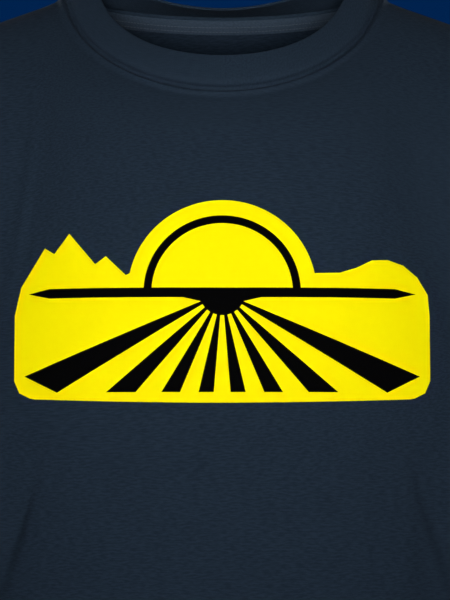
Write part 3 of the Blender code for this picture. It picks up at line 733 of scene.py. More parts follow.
def cubic(values, at, wraps=False):
    """Values along the first axis, read between their rows by a smooth curve."""
    count = len(values)
    low = np.clip(np.floor(at).astype(int), 0, count - 2)
    t = (at - low).reshape(-1, *([1] * (values.ndim - 1)))
    if wraps:
        ring = values[:-1]
        a, b, c, d = (ring[(low + k) % (count - 1)] for k in (-1, 0, 1, 2))
    else:
        longer = np.concatenate([[2 * values[0] - values[1]], values, [2 * values[-1] - values[-2]]])
        a, b, c, d = (longer[low + k] for k in (0, 1, 2, 3))
    return b + (c - a) * t / 2 + (2 * a - 5 * b + 4 * c - d) * t**2 / 2 + (3 * b - a - 3 * c + d) * t**3 / 2


def run_along(points):
    """The length along each column of points, from its first row."""
    steps = np.linalg.norm(np.diff(points, axis=0), axis=2)
    return np.concatenate([np.zeros((1, points.shape[1])), np.cumsum(steps, axis=0)])


def crowded_shares(count, crowd):
    """Places from 0 to 1, even but for the parts where they stand closer."""
    centres, width, more = crowd
    fine = np.linspace(0, 1, CROWD_STEPS + 1)
    density = np.ones(CROWD_STEPS + 1) + more * sum(bell(fine - centre, width) for centre in centres)
    passed = np.concatenate([[0], np.cumsum((density[1:] + density[:-1]) / 2)]) / CROWD_STEPS
    count = int(count * passed[-1])
    return np.interp(np.linspace(0, passed[-1], count + 1)[1:-1], passed, fine)[:, None]


def spaced_rows(values, start, end, step, wraps=False, crowd=EVEN):
    """Rows set anew along the cloth: close at both ends, and even or crowded between them.

    values holds a point and a direction for each place.
    """
    run = run_along(values[:, :, :3])
    total = run[-1]
    count = max(int((total.max() - start[-1] - end[-1]) / step), 2)
    between = start[-1] + (total - start[-1] - end[-1]) * crowded_shares(count, crowd)
    distance = np.concatenate([np.repeat(start[:, None], len(total), 1), between, total - end[::-1, None]])
    numbers = np.arange(len(run))
    places = [np.interp(distance[:, c], run[:, c], numbers) for c in range(len(total))]
    return np.stack([cubic(values[:, c], at, wraps) for c, at in enumerate(places)], axis=1)


def distance_to(points, *lines):
    """How far each point is from the nearest of some lines of points."""
    best = np.full(points.shape[:-1], np.inf)
    for line in lines:
        for a, b in zip(line, line[1:]):
            along = b - a
            share = np.clip(((points - a) @ along) / max(along @ along, TINY), 0, 1)
            best = np.minimum(best, np.linalg.norm(points - (a + share[..., None] * along), axis=-1))
    return best


def ridges(distance, shapes):
    """The height of some ridges at each distance from a seam or an edge."""
    return sum(height * MM * bell(distance - at * MM, width * MM) for at, width, height in shapes)


def step_down(distance, height, reach, fade):
    """That height up to a distance, and 0 past it."""
    return height * (1 - ease((distance - reach) / fade + 0.5))


def allowance(distance, step):
    """The folded edges inside a seam, on both sides of its groove."""
    return step_down(distance, *step) * (1 - bell(distance, ALLOWANCE_GROOVE))


def rounding(distance, radius):
    """How much of its thickness a rounded edge has at that distance from the edge."""
    share = np.clip(1 - distance / radius, 0, 1)
    return np.maximum(np.sqrt(1 - share**2), EDGE_LEAST)


def pleat_depth(points):
    """How far the sharp-edged folds low on the front sink in at each point."""
    sink, die = PLEAT_TAPER
    inner, outer = PLEAT_WIDTHS
    depth = np.zeros(points.shape[:-1])
    for line in PLEATS:
        share, off = along_line(points[..., 0], points[..., 2], *line)
        outward = off if line[0] < 0 else -off
        strength = ease(share / sink) * ease((1 - share) / die)
        depth += PLEAT_DEPTH * strength * bell(outward, np.where(outward > 0, outer, inner))
    return depth


class Form:
    """One panel of the draped shirt: its middle, the directions out of it, and both of its faces."""

    def __init__(self, values, wraps=False):
        self.wraps = wraps
        self.middle = values[:, :, :3]
        self.out = values[:, :, 3:] / np.linalg.norm(values[:, :, 3:], axis=2, keepdims=True)
        self.up = run_along(self.middle)
        self.across = run_along(self.middle.swapaxes(0, 1)).T

    def thicken(self, outer, inner, edge=1):
        """Lays both faces at those distances from the middle, thinned where an edge is rounded."""
        self.outer = self.middle + self.out * (outer * edge)[:, :, None]
        self.inner = self.middle - self.out * (inner * edge)[:, :, None]


def panel_grid(sheet, name):
    """One panel of the sheet as an array of rows of columns, each a point and the direction out of it."""
    numbers = panel_vertices(sheet, name)
    return np.concatenate([coordinates(sheet)[numbers], vertex_normals(sheet)[numbers]], axis=2)


def sewn_faces(seam, hem, sizes):
    """A panel's outer and inner distance from its middle, by how far its seams and its hem are."""
    half = sizes.jersey / 2
    dents = ridges(hem, [(row, *HEM_DENT) for row in HEM_ROWS])
    outer = half + ridges(seam, SEAM_RELIEF) + (step_down(hem, *HEM_PUFF) + dents)
    inner = half + step_down(hem, sizes.jersey, sizes.hem_depth, HEM_STEP) + allowance(seam, SEAM_ALLOWANCE)
    return outer, inner


def body_form(sheet, side, sizes):
    """The front or the back panel."""
    values = panel_grid(sheet, side)
    grid = values[:, :, :3]
    step = sizes.mesh_step
    crowd = PLEAT_CROWD if side == "front" else EVEN
    values = spaced_rows(values, HEM_LINES, SEAM_LINES, step)
    values = spaced_rows(values.swapaxes(0, 1), SEAM_LINES, SEAM_LINES, step, crowd=crowd).swapaxes(0, 1)
    form = Form(values)
    if side == "front":
        form.middle = form.middle - form.out * pleat_depth(form.middle)[:, :, None]
    first, last = (ACROSS - NECK_COLUMNS) * FINENESS, (ACROSS + NECK_COLUMNS) * FINENESS
    form.neckline = grid[-1, first : last + 1]
    seam = distance_to(form.middle, grid[-1, : first + 1], grid[-1, last:], grid[:, 0], grid[:, -1])
    collar = distance_to(form.middle, form.neckline)
    outer, inner = sewn_faces(seam, form.up, sizes)
    outer += ridges(collar, NECK_SEAM_RELIEF)
    inner += allowance(collar, NECK_ALLOWANCE)
    form.thicken(outer, inner, rounding(form.up, HEM_ROUNDING))
    return form


def sleeve_form(sheet, name, sizes):
    """A sleeve, from its armhole seam to its hem."""
    values = panel_grid(sheet, name)
    seams = (values[0, :, :3], values[:, 0, :3])
    values = spaced_rows(values, SEAM_LINES, HEM_LINES, sizes.mesh_step)
    values = spaced_rows(values.swapaxes(0, 1), SEAM_LINES, SEAM_LINES, sizes.mesh_step, True).swapaxes(0, 1)
    form = Form(values, True)
    hem = form.up[-1] - form.up
    outer, inner = sewn_faces(distance_to(form.middle, *seams), hem, sizes)
    form.thicken(outer, inner, rounding(hem, HEM_ROUNDING))
    return form


def collar_form(sheet, sizes):
    """The folded rib, swelling between its seam and its rounded fold, with its fine ribs."""
    values = spaced_rows(panel_grid(sheet, "collar"), COLLAR_LINES, COLLAR_TOP_LINES, COLLAR_STEP)
    at = np.linspace(0, values.shape[1] - 1, 4 * RIBS + 1)
    form = Form(cubic(values.swapaxes(0, 1), at, True).swapaxes(0, 1), True)
    seam, half = form.up, sizes.collar / 2
    outward, inward, power = RIB_SWELL
    swell = np.sin(math.pi * (seam / seam[-1])) ** power
    rib = np.cos(np.arange(seam.shape[1]) * math.pi / 2) * RIB_RELIEF * (1 - np.exp(-seam / RIB_FADE))
    width, share = RIB_PINCH
    outer = half + outward * swell + rib + ridges(seam, RIB_SEAM_RELIEF) - half * share * bell(seam, width)
    inner = half + inward * swell + rib + (sizes.jersey / 2 - half) * bell(seam, RIB_INNER_PINCH)
    form.thicken(outer, inner, rounding(seam[-1] - seam, COLLAR_ROUNDING))
    return form


def quads_of(numbers):
    """The numbers at the corners of each cell of a grid."""
    corners = (numbers[:-1, :-1], numbers[:-1, 1:], numbers[1:, 1:], numbers[1:, :-1])
    return np.stack(corners, axis=-1).reshape(-1, 4)


def shell(name, form):
    """The form as a closed mesh, with its lengths along the cloth as its UV map."""
    rows, columns = form.outer.shape[:2]
    ring = columns - 1 if form.wraps else columns
    places = np.concatenate([form.outer[:, :ring].reshape(-1, 3), form.inner[:, :ring].reshape(-1, 3)])
    numbers = np.arange(rows)[:, None] * ring + np.arange(columns) % ring
    spots = np.arange(rows * columns).reshape(rows, columns)
    faces = [quads_of(numbers), quads_of(numbers)[:, ::-1] + rows * ring]
    uvs = [quads_of(spots), quads_of(spots)[:, ::-1]]
    rims = [(numbers[0], spots[0]), (numbers[-1, ::-1], spots[-1, ::-1])]
    if not form.wraps:
        rims += [(numbers[:, -1], spots[:, -1]), (numbers[::-1, 0], spots[::-1, 0])]
    for near, spot in rims:
        far = near + rows * ring
        faces.append(np.stack([near[1:], near[:-1], far[:-1], far[1:]], axis=-1))
        uvs.append(np.stack([spot[1:], spot[:-1], spot[:-1], spot[1:]], axis=-1))
    mesh = bpy.data.meshes.new(name)
    mesh.from_pydata(places.tolist(), [], np.concatenate(faces).tolist())
    lengths = np.stack([form.across, form.up], axis=-1).reshape(-1, 2)
    mesh.uv_layers.new(name="cloth").data.foreach_set("uv", lengths[np.concatenate(uvs)].ravel())
    mesh.shade_smooth()
    return new_object(name, mesh)


def tape_form(back, sizes):
    """The flat tape over the back neck seam, lying on the inside of the back panel."""
    rows, columns = back.middle.shape[:2]
    upper = np.arange(rows * columns).reshape(rows, columns)[rows * 2 // 3 :]
    surface = BVHTree.FromPolygons(back.middle.reshape(-1, 3).tolist(), quads_of(upper).tolist())
    seam = cubic(back.neckline, np.linspace(TAPE_END, len(back.neckline) - 1 - TAPE_END, TAPE_COLUMNS))
    reaches = sizes.tape_drop + sizes.tape_width * np.concatenate([TAPE_LINES, TAPE_STITCHES, [1.0]])
    reaches = np.sort(reaches)[::-1]
    values = np.zeros((len(reaches), TAPE_COLUMNS, 6))
    for c, (start, direction) in enumerate(zip(seam, np.gradient(seam, axis=0))):
        out = surface.find_nearest(Vector(start))[1]
        into = Vector(direction).cross(out).normalized()
        for r, reach in enumerate(reaches):
            place, normal, _, _ = surface.find_nearest(Vector(start) + into * reach)
            values[r, c, :3], values[r, c, 3:] = place, normal
    form = Form(values)
    half = TAPE_THICKNESS / 2
    reach = np.repeat(reaches[:, None], TAPE_COLUMNS, 1)
    lying = sizes.jersey / 2 + step_down(reach, *TAPE_LIFT) + TAPE_GAP + half
    form.middle = form.middle - form.out * lying[:, :, None]
    side = np.minimum(reach - reaches.min(), reaches.max() - reach)
    thickness = half * rounding(side, TAPE_ROUNDING) + ridges(side, TAPE_SELVEDGE)
    stitches = [sizes.tape_drop + sizes.tape_width * share for share in TAPE_STITCHES]
    form.thicken(thickness, thickness + ridges(reach, [(row / MM, *TAPE_DENT) for row in stitches]))
    form.stitch_rows = [int(np.argmin(np.abs(reaches - row))) for row in stitches]
    return form


# Stitches


def stitch_tree():
    """A row of stitches along each line of edges."""
    tree, given, result = new_group(
        "stitch row",
        "GeometryNodeTree",
        [
            ("Geometry", "Geometry", None),
            ("Pitch", "Float", 0.0027),
            ("Stitch length", "Float", 0.0022),
            ("Thread radius", "Float", 0.0002),
            ("Material", "Material", None),
        ],
        [("Geometry", "Geometry")],
    )

    def step(kind, inputs=None, **settings):
        return add_node(tree, kind, inputs, **settings).outputs[0]

    line = step("GeometryNodeMeshToCurve", {0: given.outputs["Geometry"]})
    spacing = {"Curve": line, "Length": given.outputs["Pitch"]}
    evened = step("GeometryNodeResampleCurve", spacing, mode="LENGTH")
    tangent = step("GeometryNodeInputTangent")
    turn = step("FunctionNodeAlignRotationToVector", {"Vector": tangent}, axis="X")
    half = maths(tree, "MULTIPLY", given.outputs["Stitch length"], 0.5)
    radius = given.outputs["Thread radius"]
    size = step("ShaderNodeCombineXYZ", {0: half, 1: radius, 2: radius})
    ball = {"Segments": STITCH_SIDES, "Rings": STITCH_RINGS, "Radius": 1.0}
    bead = step("GeometryNodeMeshUVSphere", ball)
    along = step("GeometryNodeTransform", {"Geometry": bead, "Rotation": (0, math.pi / 2, 0)})
    shaped = step("GeometryNodeTransform", {"Geometry": along, "Scale": size})
    placed = step("GeometryNodeInstanceOnPoints", {"Points": evened, "Instance": shaped, "Rotation": turn})
    real = step("GeometryNodeRealizeInstances", {0: placed})
    smooth = step("GeometryNodeSetShadeSmooth", {"Geometry": real})
    finished = step("GeometryNodeSetMaterial", {"Geometry": smooth, "Material": given.outputs["Material"]})
    tree.links.new(finished, result.inputs["Geometry"])
    return tree


def set_inputs(modifier, **values):
    """Sets a Geometry Nodes modifier's inputs by the names that its tree gives them."""
    for item in modifier.node_group.interface.items_tree:
        if item.item_type == "SOCKET" and item.in_out == "INPUT":
            key = item.name.lower().replace(" ", "_")
            if key in values:
                modifier[item.identifier] = values[key]


def stitch_piece(name, lines, material, pitch, thread):
    """Rows of stitches along lines of points, as one plain mesh."""
    places, edges = [], []
    for line in lines:
        first = len(places)
        places += [tuple(p) for p in line]
        edges += [(first + k, first + k + 1) for k in range(len(line) - 1)]
    mesh = bpy.data.meshes.new(name + "_lines")
    mesh.from_pydata(places, edges, [])
    guide = new_object(name + "_lines", mesh)
    rows = guide.modifiers.new("stitches", "NODES")
    rows.node_group = bpy.data.node_groups.get("stitch row") or stitch_tree()
    length = pitch * STITCH_SHARE
    set_inputs(rows, pitch=pitch, stitch_length=length, thread_radius=thread, material=material)
    piece = new_object(name, finished_mesh(guide, name))
    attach(piece, "root")


def hem_rows(form, hem_at_start, lift):
    """The two lines of stitches round a hem, just proud of the cloth."""
    distance = form.up if hem_at_start else form.up[-1] - form.up
    rows = [int(np.argmin(np.abs(distance[:, 0] - row * MM))) for row in HEM_ROWS]
    return [form.outer[row] + form.out[row] * lift for row in rows]


# The print


def arc(radius, start, end, steps):
    """Points of a circle about the middle of the horizon; angles in degrees from straight down."""
    turns = np.radians(np.linspace(start, end, steps + 1))
    return [(radius * math.sin(t), -radius * math.cos(t)) for t in turns]


def field_edge(x, wide):
    """How far below the horizon the fields end."""
    return FIELD_DEPTH - FIELD_SAG * (x / wide) ** 2


def furrow(angle, wide):
    """The outline of a dark strip from the hub to the fields' edge; angle in degrees from straight down."""
    ends = []
    for turn in (math.radians(angle - FURROW_SPREAD), math.radians(angle + FURROW_SPREAD)):
        down = (FIELD_DEPTH - FIELD_RIM) / math.cos(turn)
        across = (wide - FIELD_RIM) / abs(math.sin(turn))
        reach = min(down, across)
        ends.append((reach * math.sin(turn), -reach * math.cos(turn)))
    roots = arc(HUB_RADIUS, angle - FURROW_SPREAD, angle + FURROW_SPREAD, 1)
    return [roots[0], ends[0], ends[1], roots[1]]


def picture_outlines(wide):
    """Each film's regions, each an outline and its holes, in metres about the middle of the horizon."""
    corner = [(x, rise - field_edge(wide, wide)) for x, rise in FIELD_CORNER]
    corner += [(wide, y) for y in FIELD_SIDE]
    along = [k * wide / FIELD_STEPS for k in range(-FIELD_POINTS, FIELD_POINTS + 1)]
    yellow = [(-x, y) for x, y in reversed(corner)] + [(x, -field_edge(x, wide)) for x in along] + corner
    yellow += list(HILLS) + arc(SUN_RADIUS, SUN_FROM, 360 - SUN_FROM, SUN_STEPS) + list(PEAKS)
    half_band = HORIZON_BAND / 2
    rings = []
    for radius in SUN_RING_RADII:
        turn = math.degrees(math.asin(half_band / radius))
        rings.append(arc(radius, 90 + turn, 270 - turn, SUN_RING_STEPS))
    black = [(-HORIZON_END, 0.0)] + [(-x, -half_band) for x in reversed(HORIZON_STEPS)]
    for angle in FURROW_ANGLES:
        black += furrow(angle, wide)
    black += [(x, -half_band) for x in HORIZON_STEPS] + [(HORIZON_END, 0.0)]
    beside = HORIZON_STEPS[2:]
    black += [(x, half_band) for x in reversed(beside)] + rings[1] + [(-x, half_band) for x in beside]
    return {"yellow": [yellow], "black": [black, rings[0]]}


def inside_outline(x, y, outline):
    """Whether the point lies inside the outline, by counting the sides that a ray to the right crosses."""
    crossings = 0
    for (x1, y1), (x2, y2) in zip(outline, outline[1:] + outline[:1]):
        if (y1 > y) != (y2 > y) and x < x1 + (y - y1) / (y2 - y1) * (x2 - x1):
            crossings += 1
    return crossings % 2 == 1


class Chest:
    """The outside of the front panel where the print lies."""

    def __init__(self, front, sizes):
        self.drop = sizes.print_drop
        x, z = front.outer[:, :, 0], front.outer[:, :, 2] + self.drop
        near = np.abs(x) < sizes.print_half_width + PRINT_MARGIN
        near &= (np.abs(z) < FIELD_DEPTH + PRINT_MARGIN) & (front.outer[:, :, 1] < 0)
        rows, columns = np.nonzero(near.any(axis=1))[0], np.nonzero(near.any(axis=0))[0]
        patch = (slice(rows[0], rows[-1] + 1), slice(columns[0], columns[-1] + 1))
        self.points = front.outer[patch].reshape(-1, 3)
        self.out = front.out[patch].reshape(-1, 3)
        number = np.arange(len(rows) * len(columns)).reshape(len(rows), len(columns))
        self.edges = [
            *zip(number[:, :-1].ravel().tolist(), number[:, 1:].ravel().tolist()),
            *zip(number[:-1].ravel().tolist(), number[1:].ravel().tolist()),
        ]
        self.quads = quads_of(number).tolist()
        self.tree = BVHTree.FromPolygons(self.points.tolist(), self.quads)

    def at(self, x, z):
        """The point of the cloth there, seen from straight ahead, and the direction out of it."""
        found, _, index, _ = self.tree.ray_cast(Vector((x, -1, z - self.drop)), Vector((0, 1, 0)))
        corners = self.quads[index]
        weights = poly_3d_calc([Vector(self.points[k]) for k in corners], found)
        out = sum((Vector(self.out[k]) * w for k, w in zip(corners, weights)), Vector())
        return found, out.normalized()


def print_film(name, chest, outlines, lift, thickness):
    """A film of ink that follows the chest, cut to the outlines, at that height above the cloth."""
    flat = [Vector((p[0], p[2] + chest.drop)) for p in chest.points]
    edges = list(chest.edges)
    for outline in outlines:
        first = len(flat)
        flat += [Vector(p) for p in outline]
        edges += [(first + k, first + (k + 1) % len(outline)) for k in range(len(outline))]
    flat, _, triangles, _, _, _ = delaunay_2d_cdt(flat, edges, [], 0, CUT_TOLERANCE)
    kept = []
    for triangle in triangles:
        middle = sum((flat[k] for k in triangle), Vector((0, 0))) / len(triangle)
        if sum(inside_outline(middle.x, middle.y, outline) for outline in outlines) == 1:
            kept.append(triangle)
    places, over = [], {}
    for k in sorted({k for triangle in kept for k in triangle}):
        found, out = chest.at(flat[k].x, flat[k].y)
        over[k] = len(places)
        places += [found + out * (lift + thickness), found + out * lift]
    faces = [[over[k] for k in triangle] for triangle in kept]
    faces += [[over[k] + 1 for k in reversed(triangle)] for triangle in kept]
    sides = {(a, b) for t in kept for a, b in zip(t, t[1:] + t[:1])}
    for a, b in sorted(sides):
        if (b, a) not in sides:
            faces.append([over[b], over[a], over[a] + 1, over[b] + 1])
    mesh = bpy.data.meshes.new(name)
    mesh.from_pydata(places, [], faces)
    mesh.shade_smooth()
    mesh.set_sharp_from_angle(angle=FILM_EDGE)
    return new_object(name, mesh)


# Materials


def fill(tree, node, inputs):
    """Sets a node's inputs to values, or links them to sockets."""
    for key, value in inputs.items():
        if isinstance(value, bpy.types.NodeSocket):
            tree.links.new(value, node.inputs[key])
        else:
            node.inputs[key].default_value = value


def add_node(tree, kind, inputs=None, **settings):
    """A node with its settings and its inputs."""
    made = tree.nodes.new(kind)
    for name, value in settings.items():
        setattr(made, name, value)
    fill(tree, made, inputs or {})
    return made


def maths(tree, operation, *values, **settings):
    settings["operation"] = operation
    return add_node(tree, "ShaderNodeMath", dict(enumerate(values)), **settings).outputs[0]


def noise(tree, place, scale, detail, roughness=0.5):
    inputs = {"Vector": place, "Scale": scale, "Detail": detail, "Roughness": roughness}
    return add_node(tree, "ShaderNodeTexNoise", inputs).outputs[0]


def remapped(tree, value, before=(0, 1), after=(0, 1), **settings):
    """A value moved from one range to another, and kept inside it."""
    ranges = dict(zip(("From Min", "From Max", "To Min", "To Max"), (*before, *after)))
    return add_node(tree, "ShaderNodeMapRange", {"Value": value, **ranges}, **settings).outputs[0]


def blend(tree, share, first, last):
    """The colour between two others."""
    return add_node(tree, "ShaderNodeMix", {0: share, 6: first, 7: last}, data_type="RGBA").outputs[2]


def bump(tree, height, strength, distance):
    inputs = {"Strength": strength, "Distance": distance, "Height": height}
    return add_node(tree, "ShaderNodeBump", inputs).outputs[0]


def object_place(tree):
    return add_node(tree, "ShaderNodeTexCoord").outputs["Object"]


def opaque(shade):
    return (*shade, 1)


def new_group(name, kind, inputs, outputs):
    """A node group with named sockets; returns it with its input and output nodes."""
    tree = bpy.data.node_groups.new(name, kind)
    for label, socket, default in inputs:
        made = tree.interface.new_socket(label, in_out="INPUT", socket_type="NodeSocket" + socket)
        if default is not None:
            made.default_value = default
    for label, socket in outputs:
        tree.interface.new_socket(label, in_out="OUTPUT", socket_type="NodeSocket" + socket)
    return tree, tree.nodes.new("NodeGroupInput"), tree.nodes.new("NodeGroupOutput")


def in_cells(tree, given, across, up):
    """The cloth's place counted in cells, across and up, by the group's inputs of those names."""
    place = add_node(tree, "ShaderNodeSeparateXYZ", {0: given.outputs["Cloth"]})
    names = enumerate((across, up))
    return [maths(tree, "DIVIDE", place.outputs[axis], given.outputs[name]) for axis, name in names]


def knit_relief():
    """Columns of small V stitches, as a height."""
    inputs = [("Cloth", "Vector", None), ("Wale", "Float", 0.0009), ("Course", "Float", 0.0007)]
    tree, given, result = new_group("knit relief", "ShaderNodeTree", inputs, [("Height", "Float")])
    column, row = in_cells(tree, given, "Wale", "Course")
    side = maths(tree, "ABSOLUTE", maths(tree, "SUBTRACT", maths(tree, "FRACT", column), 0.5))
    leg = maths(tree, "SINE", maths(tree, "MULTIPLY", side, math.tau))
    slant = maths(tree, "ADD", row, maths(tree, "MULTIPLY", side, KNIT_SLANT))
    loop = maths(tree, "SINE", maths(tree, "MULTIPLY", slant, math.tau))
    bead = maths(tree, "MULTIPLY_ADD", loop, KNIT_BEAD, 1 - KNIT_BEAD)
    fill(tree, result, {"Height": maths(tree, "MULTIPLY", maths(tree, "ABSOLUTE", leg), bead)})


def heather():
    """Short level streaks of lighter fibre, with slow changes of tone."""
    inputs = [
        ("Cloth", "Vector", None),
        ("Base", "Color", (0, 0, 0, 1)),
        ("Fleck", "Color", (0, 0, 0, 1)),
        ("Streak length", "Float", 0.004),
        ("Streak height", "Float", 0.0008),
    ]
    outputs = [("Color", "Color"), ("Streaks", "Float")]
    tree, given, result = new_group("heather", "ShaderNodeTree", inputs, outputs)
    x, y = in_cells(tree, given, "Streak length", "Streak height")
    stretched = add_node(tree, "ShaderNodeCombineXYZ", {0: x, 1: y}).outputs[0]
    streaks = remapped(tree, noise(tree, stretched, *STREAKS), STREAK_EDGES)
    clouds = noise(tree, given.outputs["Cloth"], *CLOUDS)
    cloudy = maths(tree, "MULTIPLY_ADD", clouds, CLOUD_SHARE, -CLOUD_SHARE / 2)
    share = maths(tree, "ADD", streaks, cloudy, use_clamp=True)
    colour_between = blend(tree, share, given.outputs["Base"], given.outputs["Fleck"])
    fill(tree, result, {"Color": colour_between, "Streaks": streaks})


def new_material(name):
    material = bpy.data.materials.new(name)
    material.use_nodes = True
    tree = material.node_tree
    return material, tree, tree.nodes["Principled BSDF"]


def cloth_material(name, base, fleck, relief, streak, stitch):
    """Knitted or woven cloth: heathered colour, a knitted relief and a dry surface."""
    _, tree, shader = new_material(name)
    place = add_node(tree, "ShaderNodeUVMap", uv_map="cloth").outputs[0]
    shade = {"Cloth": place, "Base": opaque(base), "Fleck": opaque(fleck)}
    shade.update({"Streak length": streak[0], "Streak height": streak[1]})
    fibres = add_node(tree, "ShaderNodeGroup", node_tree=bpy.data.node_groups["heather"])
    fill(tree, fibres, shade)
    knit = add_node(tree, "ShaderNodeGroup", node_tree=bpy.data.node_groups["knit relief"])
    fill(tree, knit, {"Cloth": place, "Wale": stitch[0], "Course": stitch[1]})
    finish = {
        "Base Color": fibres.outputs["Color"],
        "Normal": bump(tree, knit.outputs["Height"], relief, KNIT_HEIGHT),
        "Roughness": remapped(tree, fibres.outputs["Streaks"], after=CLOTH_ROUGHNESS),
        "Specular IOR Level": CLOTH_SPECULAR,
    }
    fill(tree, shader, finish)


def ink_material(name, shade, roughness, specular, mottle):
    """A flat film of screen-print ink: nearly even in colour, with a faint grain of the cloth below."""
    _, tree, shader = new_material(name)
    place = object_place(tree)
    patches = noise(tree, place, *INK_PATCHES)
    dark = [c * (1 - mottle) for c in shade]
    span = (roughness - INK_ROUGHNESS_SPREAD, roughness + INK_ROUGHNESS_SPREAD)
    finish = {
        "Base Color": blend(tree, patches, opaque(dark), opaque(shade)),
        "Normal": bump(tree, noise(tree, place, *INK_GRAIN), *INK_RELIEF),
        "Roughness": remapped(tree, patches, after=span),
        "Specular IOR Level": specular,
    }
    fill(tree, shader, finish)


def thread_material(name, shade):
    """Twisted sewing thread, lighter and darker along its plies."""
    _, tree, shader = new_material(name)
    twist = {"Vector": object_place(tree), "Scale": THREAD_PLIES, "Distortion": 2.0}
    plies = add_node(tree, "ShaderNodeTexWave", twist, bands_direction="DIAGONAL")
    dark = [c * THREAD_SHADE for c in shade]
    finish = {
        "Base Color": blend(tree, plies.outputs[1], opaque(dark), opaque(shade)),
        "Roughness": THREAD_ROUGHNESS,
        "Specular IOR Level": THREAD_SPECULAR,
    }
    fill(tree, shader, finish)


def finish_cloth(obj, material_name, node):
    """Gives a piece of cloth its material, attaches it to the root and hides the solid part that it replaces.
    """
    obj.data.materials.append(bpy.data.materials[material_name])
    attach(obj, "root")
    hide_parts(node)


def studio_world(colours):
    """A deep blue backdrop behind the shirt that pales round its other sides, and a dim even light."""
    world = bpy.data.worlds.new("studio")
    world.use_nodes = True
    tree = world.node_tree
    direction = add_node(tree, "ShaderNodeTexCoord").outputs["Generated"]
    look = add_node(tree, "ShaderNodeSeparateXYZ", {0: direction})
    share = remapped(tree, look.outputs[1], BACKDROP_EDGE, interpolation_type="SMOOTHSTEP")
    seen = blend(tree, share, opaque(colours.surround), opaque(colours.backdrop))
    backdrop = add_node(tree, "ShaderNodeBackground", {"Color": seen})
    light = tree.nodes["Background"]
    fill(tree, light, {"Color": (1, 1, 1, 1), "Strength": AMBIENT})
    to_camera = add_node(tree, "ShaderNodeLightPath").outputs["Is Camera Ray"]
    both = add_node(tree, "ShaderNodeMixShader", {0: to_camera, 1: light.outputs[0], 2: backdrop.outputs[0]})
    fill(tree, tree.nodes["World Output"], {"Surface": both.outputs[0]})
    return world


def pale_floor(shade):
    """A wide plain floor that only the camera sees, so that it casts no light up at the shirt."""
    half = FLOOR_HALF_WIDTH
    corners = [(x, y, -FLOOR_DROP) for x, y in ((-half, -half), (half, -half), (half, half), (-half, half))]
    mesh = bpy.data.meshes.new("floor")
    mesh.from_pydata(corners, [], [(0, 1, 2, 3)])
    material, tree, shader = new_material("plain_floor")
    glow = {"Emission Color": opaque(shade), "Emission Strength": 1}
    fill(tree, shader, {"Base Color": (0, 0, 0, 1), "Specular IOR Level": 0, **glow})
    mesh.materials.append(material)
    floor = new_object("floor", mesh)
    for ray in ("diffuse", "glossy", "transmission", "shadow"):
        setattr(floor, "visible_" + ray, False)
    return floor


def aimed(name, data, place, aim):
    """A light or a camera at a place, turned to a point."""
    made = new_object(name, data)
    made.location = place
    made.rotation_euler = (Vector(aim) - Vector(place)).to_track_quat("-Z", "Y").to_euler()
    return made


# Operators


class SHIRT_OT_drape(bpy.types.Operator):
    """Cut the shirt as one sheet and let it hang on a hidden wearer"""

    bl_idname = "shirt.drape"
    bl_label = "Drape the Cloth"

    def execute(self, context):
        sizes = context.scene.shirt_sizes
        sheet = subdivided(cut_sheet(sizes), int(math.log2(DRAPE_FINENESS)), "hanging_sheet")
        fold(sheet, sizes)
        drape(sheet)
        subdivided(sheet, int(math.log2(FINENESS // DRAPE_FINENESS)), SHEET)
        return {"FINISHED"}


class SHIRT_OT_materials(bpy.types.Operator):
    """Make the cloths, inks and threads"""

    bl_idname = "shirt.materials"
    bl_label = "Materials"

    def execute(self, context):
        colours = context.scene.shirt_colours
        knit_relief()
        heather()
        navy = (colours.navy, colours.fleck)
        slate = ([c * TAPE_SHADE for c in colours.tape], colours.tape)
        for name, pair in (("navy_jersey", navy), ("navy_rib", navy), ("slate_tape", slate)):
            cloth_material(name, *pair, *CLOTHS[name])
        thread_material("navy_thread", colours.thread)
        thread_material("slate_thread", colours.tape_thread)
        for ink, finish in INKS.items():
            ink_material(ink + "_ink_film", getattr(colours, ink), *finish)
        return {"FINISHED"}


class SHIRT_OT_body(bpy.types.Operator):
    """Make the front and the back with their seams and hems"""

    bl_idname = "shirt.body"
    bl_label = "Front and Back"

    def execute(self, context):
        for side in ("front", "back"):
            obj = shell(side, body_form(bpy.data.meshes[SHEET], side, context.scene.shirt_sizes))
            node = side + "_panel"
            finish_cloth(obj, "navy_jersey", node)
        return {"FINISHED"}


class SHIRT_OT_sleeves(bpy.types.Operator):
    """Make both sleeves with their seams and hems"""

    bl_idname = "shirt.sleeves"
    bl_label = "Sleeves"

    def execute(self, context):
        for side in ("left", "right"):
            name, node = side + "_sleeve", "sleeve_" + side
            obj = shell(name, sleeve_form(bpy.data.meshes[SHEET], name, context.scene.shirt_sizes))
            finish_cloth(obj, "navy_jersey", node)
        return {"FINISHED"}


class SHIRT_OT_collar(bpy.types.Operator):
    """Make the folded rib collar"""

    bl_idname = "shirt.collar"
    bl_label = "Collar"

    def execute(self, context):
        obj = shell("collar", collar_form(bpy.data.meshes[SHEET], context.scene.shirt_sizes))
        finish_cloth(obj, "navy_rib", "neck_rib")
        return {"FINISHED"}


class SHIRT_OT_neck_tape(bpy.types.Operator):
    """Make the tape over the back neck seam, with its stitches"""

    bl_idname = "shirt.neck_tape"
    bl_label = "Neck Tape"

    def execute(self, context):
        sizes = context.scene.shirt_sizes
        form = tape_form(body_form(bpy.data.meshes[SHEET], "back", sizes), sizes)
        obj = shell("back_neck_tape", form)
        finish_cloth(obj, "slate_tape", "neck_tape")
        lift = sizes.thread * STITCH_LIFT
        lines = [form.inner[row, 1:-1] - form.out[row, 1:-1] * lift for row in form.stitch_rows]
        thread = bpy.data.materials["slate_thread"]
        closer, thicker = TAPE_STITCH
        pitch, radius = sizes.stitch_pitch * closer, sizes.thread * thicker
        stitch_piece("tape_stitches", lines, thread, pitch, radius)
        return {"FINISHED"}


